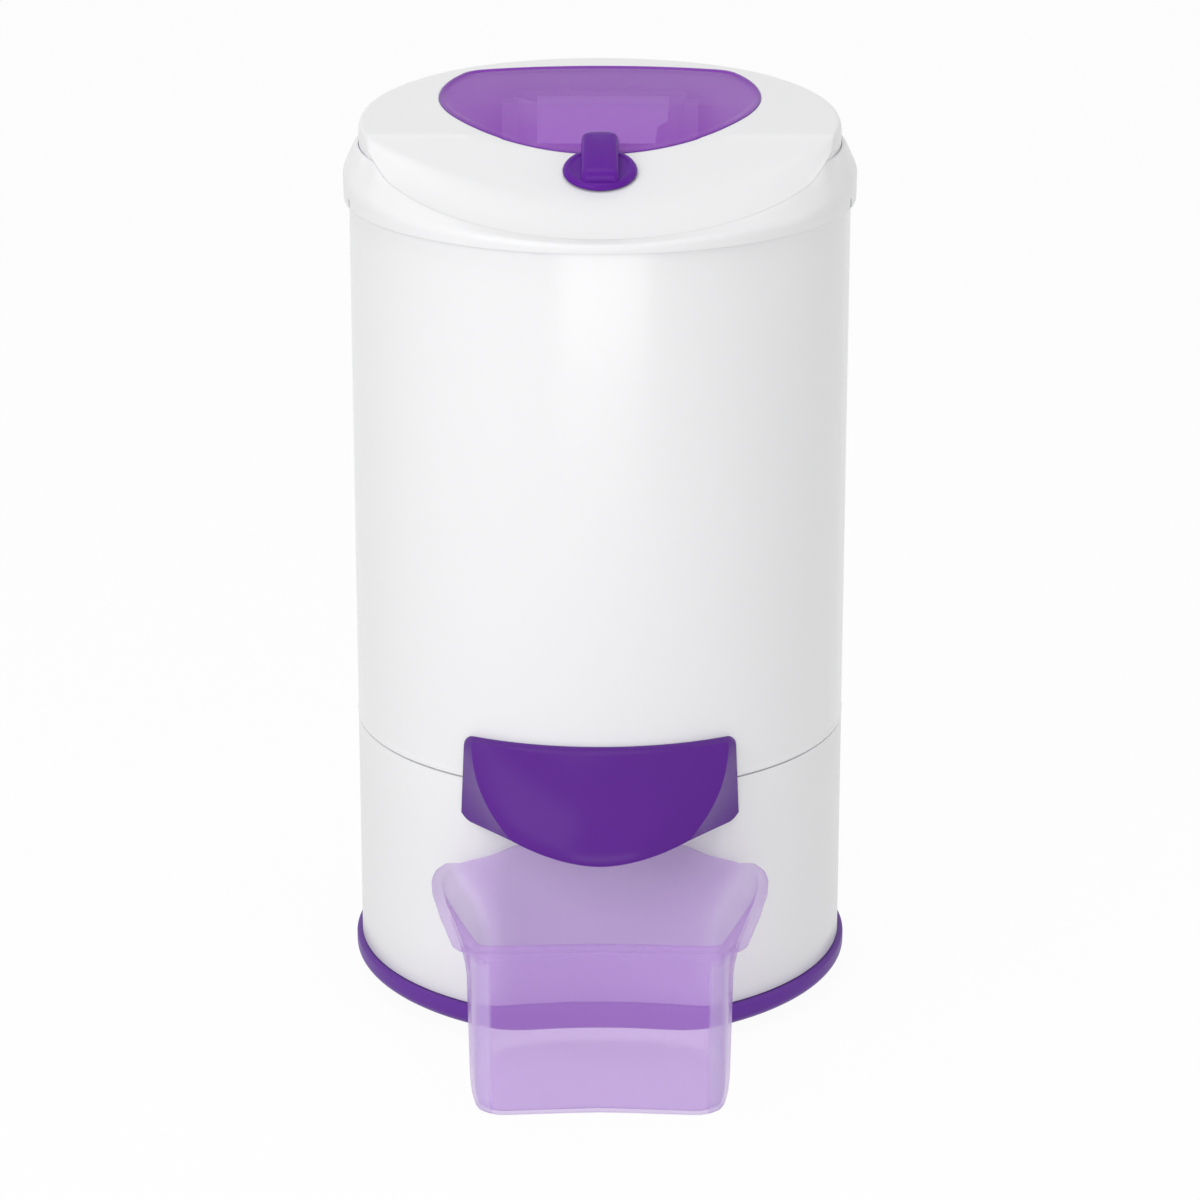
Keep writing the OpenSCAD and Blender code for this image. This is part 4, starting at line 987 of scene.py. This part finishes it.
def window_reach(azimuth):
    """Distance from the drum axis to the window's outline."""
    c, s = math.cos(azimuth), math.sin(azimuth)
    ring = -WINDOW_Y * c + math.sqrt(WINDOW_R ** 2 - (WINDOW_Y * s) ** 2)
    if c >= -0.2:
        return ring
    rear = furthest(lambda r: -r * c < WINDOW_REAR - 11.0 * (r * s / 91.0) ** 2, 200.0)
    return ease_min(ring, rear, 6.0)


lid_turns = turns(420)
window_edge = [window_reach(a) for a in lid_turns]


def lid_rows(values, place):
    """Rows round the lid, one for each value; place gives the distance and the height for an
    azimuth, the window's edge there and the value."""
    return [[at(a, *place(a, edge, value)) for a, edge in zip(lid_turns, window_edge)]
            for value in values]


def on_lid(azimuth, r, off=0.0):
    """Distance and height of a point of the lid's outer face, or off it."""
    return r, lid_top(r, azimuth) + off


def under_lid(azimuth, r):
    """Distance and height of a point of the lid's inner face."""
    return r, max(lid_top(r, azimuth) - LID_WALL, INNER_LOW)


def rolled(r, steps):
    """Distances along the lid's rolled edge, from where its level part ends."""
    return [r + LID_FILLET * math.sin(math.pi / 2 * k / 14) for k in steps]


cover_rows = lid_rows(((0, -LID_WALL), (0, -0.8), (0.25, -0.25)),
                      lambda a, e, v: (e + v[0], lid_top(e, a) + v[1]))
cover_rows += lid_rows([k / 34 for k in range(35)], lambda a, e, s: on_lid(
    a, e + OPENING_EASE + (FLAT_R - e - OPENING_EASE) * s))
cover_rows += lid_rows(rolled(FLAT_R, range(1, 15)), lambda a, e, r: on_lid(a, r))
cover_rows += lid_rows((0.3, 0.7, 0.95), lambda a, e, s: (
    LID_R - 0.7 * s, lid_top(LID_R, a) * (1 - s) + (LID_LOW + 0.3) * s))
cover_rows += lid_rows((LID_R - 1.0, LID_R - 2.0), lambda a, e, r: (r, LID_LOW))
cover_rows += lid_rows((0.9, 0.5, 0.0), lambda a, e, s: (
    LID_R - LID_WALL, under_lid(a, LID_R - LID_WALL)[1] * (1 - s) + INNER_LOW * s))
cover_rows += lid_rows(rolled(FLAT_R - LID_WALL, range(12, 0, -2)), lambda a, e, r: under_lid(a, r))
cover_rows += lid_rows((0.9, 0.7, 0.5, 0.3, 0.1),
                       lambda a, e, s: on_lid(a, e + (FLAT_R - LID_WALL - e) * s, -LID_WALL))
fit(sheet_mesh("lid cover", [(cover_rows, True, True)], 50.0), "lid_cover", white_plastic, "lid",
    "white_plastic", "lid_shell")

# ---------------------------------------------------------------------------------------------
# Lid window: a glossy translucent purple pane in the lid's opening, with a raised bead round it.
# The lid's inner tray and the lock's housing show through it.
PANE_INSET, PANE_EDGE, PANE_T = 4.6, 1.2, 2.4


def by_edge(azimuth, edge, place):
    """Distance and height of a point inset from the window's edge and proud of the lid."""
    inset, proud = place
    return on_lid(azimuth, edge - inset, proud)


window_plastic = plastic("window plastic", (0.43, 0.095, 0.73), 0.12, 0.02, 0.05, 300.0, 0.00001,
                         0.0, alpha=0.42, mirror=0.1)
pane_rows = [[(0.0, 0.0, lid_top(0.0, 0.0))] * len(lid_turns)]
pane_rows += lid_rows([k / 26 for k in range(1, 27)],
                      lambda a, e, s: on_lid(a, (e - PANE_INSET) * s))
pane_rows += lid_rows(((4.1, 0.35), (3.2, 0.55), (2.0, 0.55), (1.1, 0.3), (0.6, -0.1), (0.5, -0.6),
                       (0.5, -2.3)), by_edge)
pane_rows += lid_rows((1.0, 0.8, 0.6, 0.4, 0.2, 0.0),
                      lambda a, e, s: on_lid(a, (e - PANE_EDGE) * s, -PANE_T))
fit(sheet_mesh("lid pane", [(pane_rows, True, False)], 60.0), "lid_pane", window_plastic, "lid",
    "window_plastic", "lid_window")

bead_purple = plastic("window bead purple", (0.16, 0.035, 0.32), 0.3, 0.03, 0.05, 600.0, 0.00001,
                      mirror=0.2)
bead_rows = lid_rows(((1.15, -1.6), (1.15, 0.22), (0.95, 0.36), (0.3, 0.3), (0.1, 0.1),
                      (0.1, -1.6)), by_edge)
fit(sheet_mesh("window bead", [(bead_rows, True, True)], 60.0), "window_bead", bead_purple, "lid",
    "deep_purple_plastic")

# ---------------------------------------------------------------------------------------------
# Lid tray: the white inner side of the lid, with the ring that plugs the mouth, a half-round
# wall, two tabs and the flat housing of the lock, which show faintly through the window.
PLUG_R, PLUG_LOW = 107.0, 555.6
TRAY_R, TRAY_LOW, TRAY_TOP = 159.0, 565.0, 567.3
RIB_LOW, HOUSING_TOP, TAB_TOP = 567.0, 602.0, 597.0
ROUND_WALL_Y = 138.0
TAB_X, TAB_HALF_W, TAB_Y = 61, 8, (118, 133)


def block(plan, z0, z1, ease):
    """Grid of a prism with an eased top edge."""
    middle = (sum(x for x, _ in plan) / len(plan), sum(y for _, y in plan) / len(plan))

    def row(grow, z):
        """The plan, grown away from its middle, at a height."""
        return [(x + math.copysign(grow, x - middle[0]), y + math.copysign(grow, y - middle[1]), z)
                for x, y in plan]
    return [row(0, z0), row(0, z1 - ease), row(-ease * 0.3, z1 - ease * 0.3), row(-ease, z1),
            [(middle[0], middle[1], z1)] * len(plan)]


tray_white = plastic("lid tray white", (0.72, 0.72, 0.73), 0.42, 0.03, 0.08, 700.0, 0.00003, 0.05)
tray_line = rounded([(0.0, TRAY_LOW, 0), (PLUG_R - 3.0, TRAY_LOW, 0.8), (PLUG_R - 2.6, 556.0, 0.8),
                     (PLUG_R - 0.4, PLUG_LOW, 0.8), (PLUG_R, TRAY_LOW, 0.6),
                     (TRAY_R, TRAY_LOW, 0.6), (TRAY_R, TRAY_TOP, 0.6), (0.0, TRAY_TOP, 0)], 3)
round_wall = [[(r * math.sin(a), ROUND_WALL_Y - 0.92 * r * math.cos(a), z) for r, z in (
    (62.0, RIB_LOW), (62.0, 600.4), (61.6, 601.0), (60.4, 601.0), (60.0, 600.4), (60.0, RIB_LOW))]
    for a in [math.radians(-92 + 184 * k / 48) for k in range(49)]]
blocks = [block([(x - TAB_HALF_W, TAB_Y[0]), (x + TAB_HALF_W, TAB_Y[0]), (x + TAB_HALF_W, TAB_Y[1]),
                 (x - TAB_HALF_W, TAB_Y[1])], RIB_LOW, TAB_TOP, 1.0) for x in (-TAB_X, TAB_X)]
blocks.append(block([(-40, -38), (35, -38), (37, 15), (44, 34), (47, 116), (-42, 116)], RIB_LOW,
                    HOUSING_TOP, 2.0))
fit(sheet_mesh("lid tray", [(turn(tray_line, 160), True, False), (round_wall, False, True)]
               + [(rows, True, False) for rows in blocks]),
    "lid_tray", tray_white, "lid", "white_plastic", "lid_liner")

# ---------------------------------------------------------------------------------------------
# Hinge: two lugs of the lid between two ears of the collar, all turning on one steel pin.
# Each is a moulded block with a round eye.
HINGE_Y, HINGE_Z, HINGE_R = 167.0, 602.8, 7.0
LUG_X, LUG_HALF_W = 25, 5
EAR_X, EAR_HALF_W = 34.4, 4


def lug(x0, x1, front, low, back):
    """Hinge block: a round eye round the pin on a foot that reaches front, down and back."""
    eye = [(HINGE_Y + HINGE_R * math.cos(a), HINGE_Z + HINGE_R * math.sin(a))
           for a in [math.pi * k / 16 for k in range(17)]]
    outline = eye + [(HINGE_Y - front, HINGE_Z - low * 0.25), (HINGE_Y - front, HINGE_Z - low),
                     (HINGE_Y + back, HINGE_Z - low),
                     (HINGE_Y + max(back, HINGE_R) - 0.1, HINGE_Z - 1.5)]
    cy, cz = HINGE_Y, HINGE_Z - 1.0
    ends = ((x0, 0.0), (x0, 0.9), (x0 + 0.6, 1.0), (x1 - 0.6, 1.0), (x1, 0.9), (x1, 0.0))
    return [[(x, cy + (y - cy) * share, cz + (z - cz) * share) for y, z in outline]
            for x, share in ends]


def both_lugs(name, middle, half_w, *reach):
    """Mesh of a pair of hinge blocks, one on either side."""
    return sheet_mesh(name, [(lug(s * middle - half_w, s * middle + half_w, *reach), True, False)
                             for s in (-1, 1)])


fit(both_lugs("lid lugs", LUG_X, LUG_HALF_W, 11.0, 5.5, 2.0), "lid_lugs", white_plastic, "lid",
    "white_plastic")
fit(both_lugs("collar ears", EAR_X, EAR_HALF_W, 3.6, 14.0, 4.0), "collar_ears", white_plastic,
    "casing", "white_plastic")

# ---------------------------------------------------------------------------------------------
# Lock knob: a glossy deep-purple disc with a thick lever across it, on the lock shaft in the
# sloped front of the lid. Turned by a quarter, it locks the lid and lets go of the brake.
KNOB_Y, KNOB_Z = 91.0, 594.1
KNOB_R = 24.8
LEVER_HALF_W, LEVER_FRONT, LEVER_REAR, LEVER_TOP = 12.5, 20.0, 35.0, 14.0
LEVER_LOW, LEVER_MID = 1.5, 8
FRONT_EASE, REAR_EASE = 4.0, 8.5


def on_slope(x, y, z):
    """Point given across, up and off the lid's slope, from the middle of the knob."""
    return (x, -KNOB_Y + y * math.cos(SLOPE) - z * math.sin(SLOPE),
            KNOB_Z + y * math.sin(SLOPE) + z * math.cos(SLOPE))


def lever_outline(grow):
    """Plan of the lever: square in front with eased corners, rounder behind."""
    points = []
    half = LEVER_HALF_W + grow
    for cx, cy, ease, first in ((1, 1, REAR_EASE, 0), (-1, 1, REAR_EASE, 90),
                                (-1, -1, FRONT_EASE, 180), (1, -1, FRONT_EASE, 270)):
        reach = (LEVER_REAR + grow) if cy > 0 else (LEVER_FRONT + grow)
        radius = max(ease + grow, 0.6)
        for a in [math.radians(first + 90 * k / 8) for k in range(9)]:
            points.append((cx * (half - radius) + radius * math.cos(a),
                           cy * (reach - radius) + radius * math.sin(a)))
    return points


def lever_height(y, level):
    """Height of a row of the lever, with the top arched along its length."""
    t = (y + LEVER_FRONT) / (LEVER_FRONT + LEVER_REAR)
    fall = 2.6 * max(0.0, t - 0.45) ** 2 / 0.3 + 3.6 * max(0.0, 0.62 - t) ** 2 / 0.38
    return level - fall if level > 6 else level


disc_line = rounded([(0.0, 0.3, 0), (KNOB_R - 0.4, 0.3, 0.4), (KNOB_R, 1.6, 0.8),
                     (KNOB_R - 1.6, 4.2, 1.4), (KNOB_R - 4.6, 4.6, 1.2), (KNOB_R - 6.0, 3.9, 1.0),
                     (0.0, 3.9, 0)], 4)
disc_rows = [[on_slope(r * math.sin(a), r * math.cos(a), z) for a in turns(72)]
             for r, z in disc_line]
lever_rows = [[on_slope(x, y, lever_height(y, level)) for x, y in lever_outline(grow)]
              for grow, level in ((0.0, LEVER_LOW), (0.0, 6.0), (-0.25, LEVER_TOP - 4.0),
                                  (-0.7, LEVER_TOP - 2.0), (-1.5, LEVER_TOP - 0.8),
                                  (-2.7, LEVER_TOP - 0.2), (-4.2, LEVER_TOP),
                                  (-7.5, LEVER_TOP + 0.1))]
lever_low, lever_high = [[on_slope(0, LEVER_MID, z)] * len(lever_rows[0])
                         for z in (LEVER_LOW, LEVER_TOP - 0.2)]
knob_purple = plastic("knob purple", (0.112, 0.015, 0.285), 0.16, 0.04, 0.04, 900.0, 0.00002, 0.01,
                      mirror=0.06)
fit(sheet_mesh("lock knob", [(disc_rows, True, False),
                             ([lever_low] + lever_rows + [lever_high], True, False)], 50.0),
    "lock_knob", knob_purple, "lock", "deep_purple_plastic", "knob")

# ---------------------------------------------------------------------------------------------
# Collar screws: two zinc pan heads on short shanks, each with a round drive hole, sunk in their
# wells at the sides.
screw_line = ((169.0, 0.0), (169.0, 1.6), (171.9, 1.6), (171.9, 3.2), (172.6, 3.1), (173.2, 2.4),
              (173.35, 1.2), (172.9, 0.8), (172.9, 0.0))
screws = [(turned_level(s * SCREW_TURN, screw_line, 24), True, False) for s in (-1, 1)]
fit(sheet_mesh("collar screws", screws), "collar_screws", zinc, "casing", "zinc", "ring_screws")

# ---------------------------------------------------------------------------------------------
# Every frame part that no piece stands for keeps its shape and takes the finish of its slot.
# The slots are read off the record.
slot_of = {row["node"]: row["material_slot"] for row in frame["record"]["subparts"]}
for name, part in frame["nodes"].items():
    if name in stood_for:
        continue
    if not part.material_slots:
        part.data.materials.append(None)
    for place in part.material_slots:
        place.material = finishes[slot_of[name]]
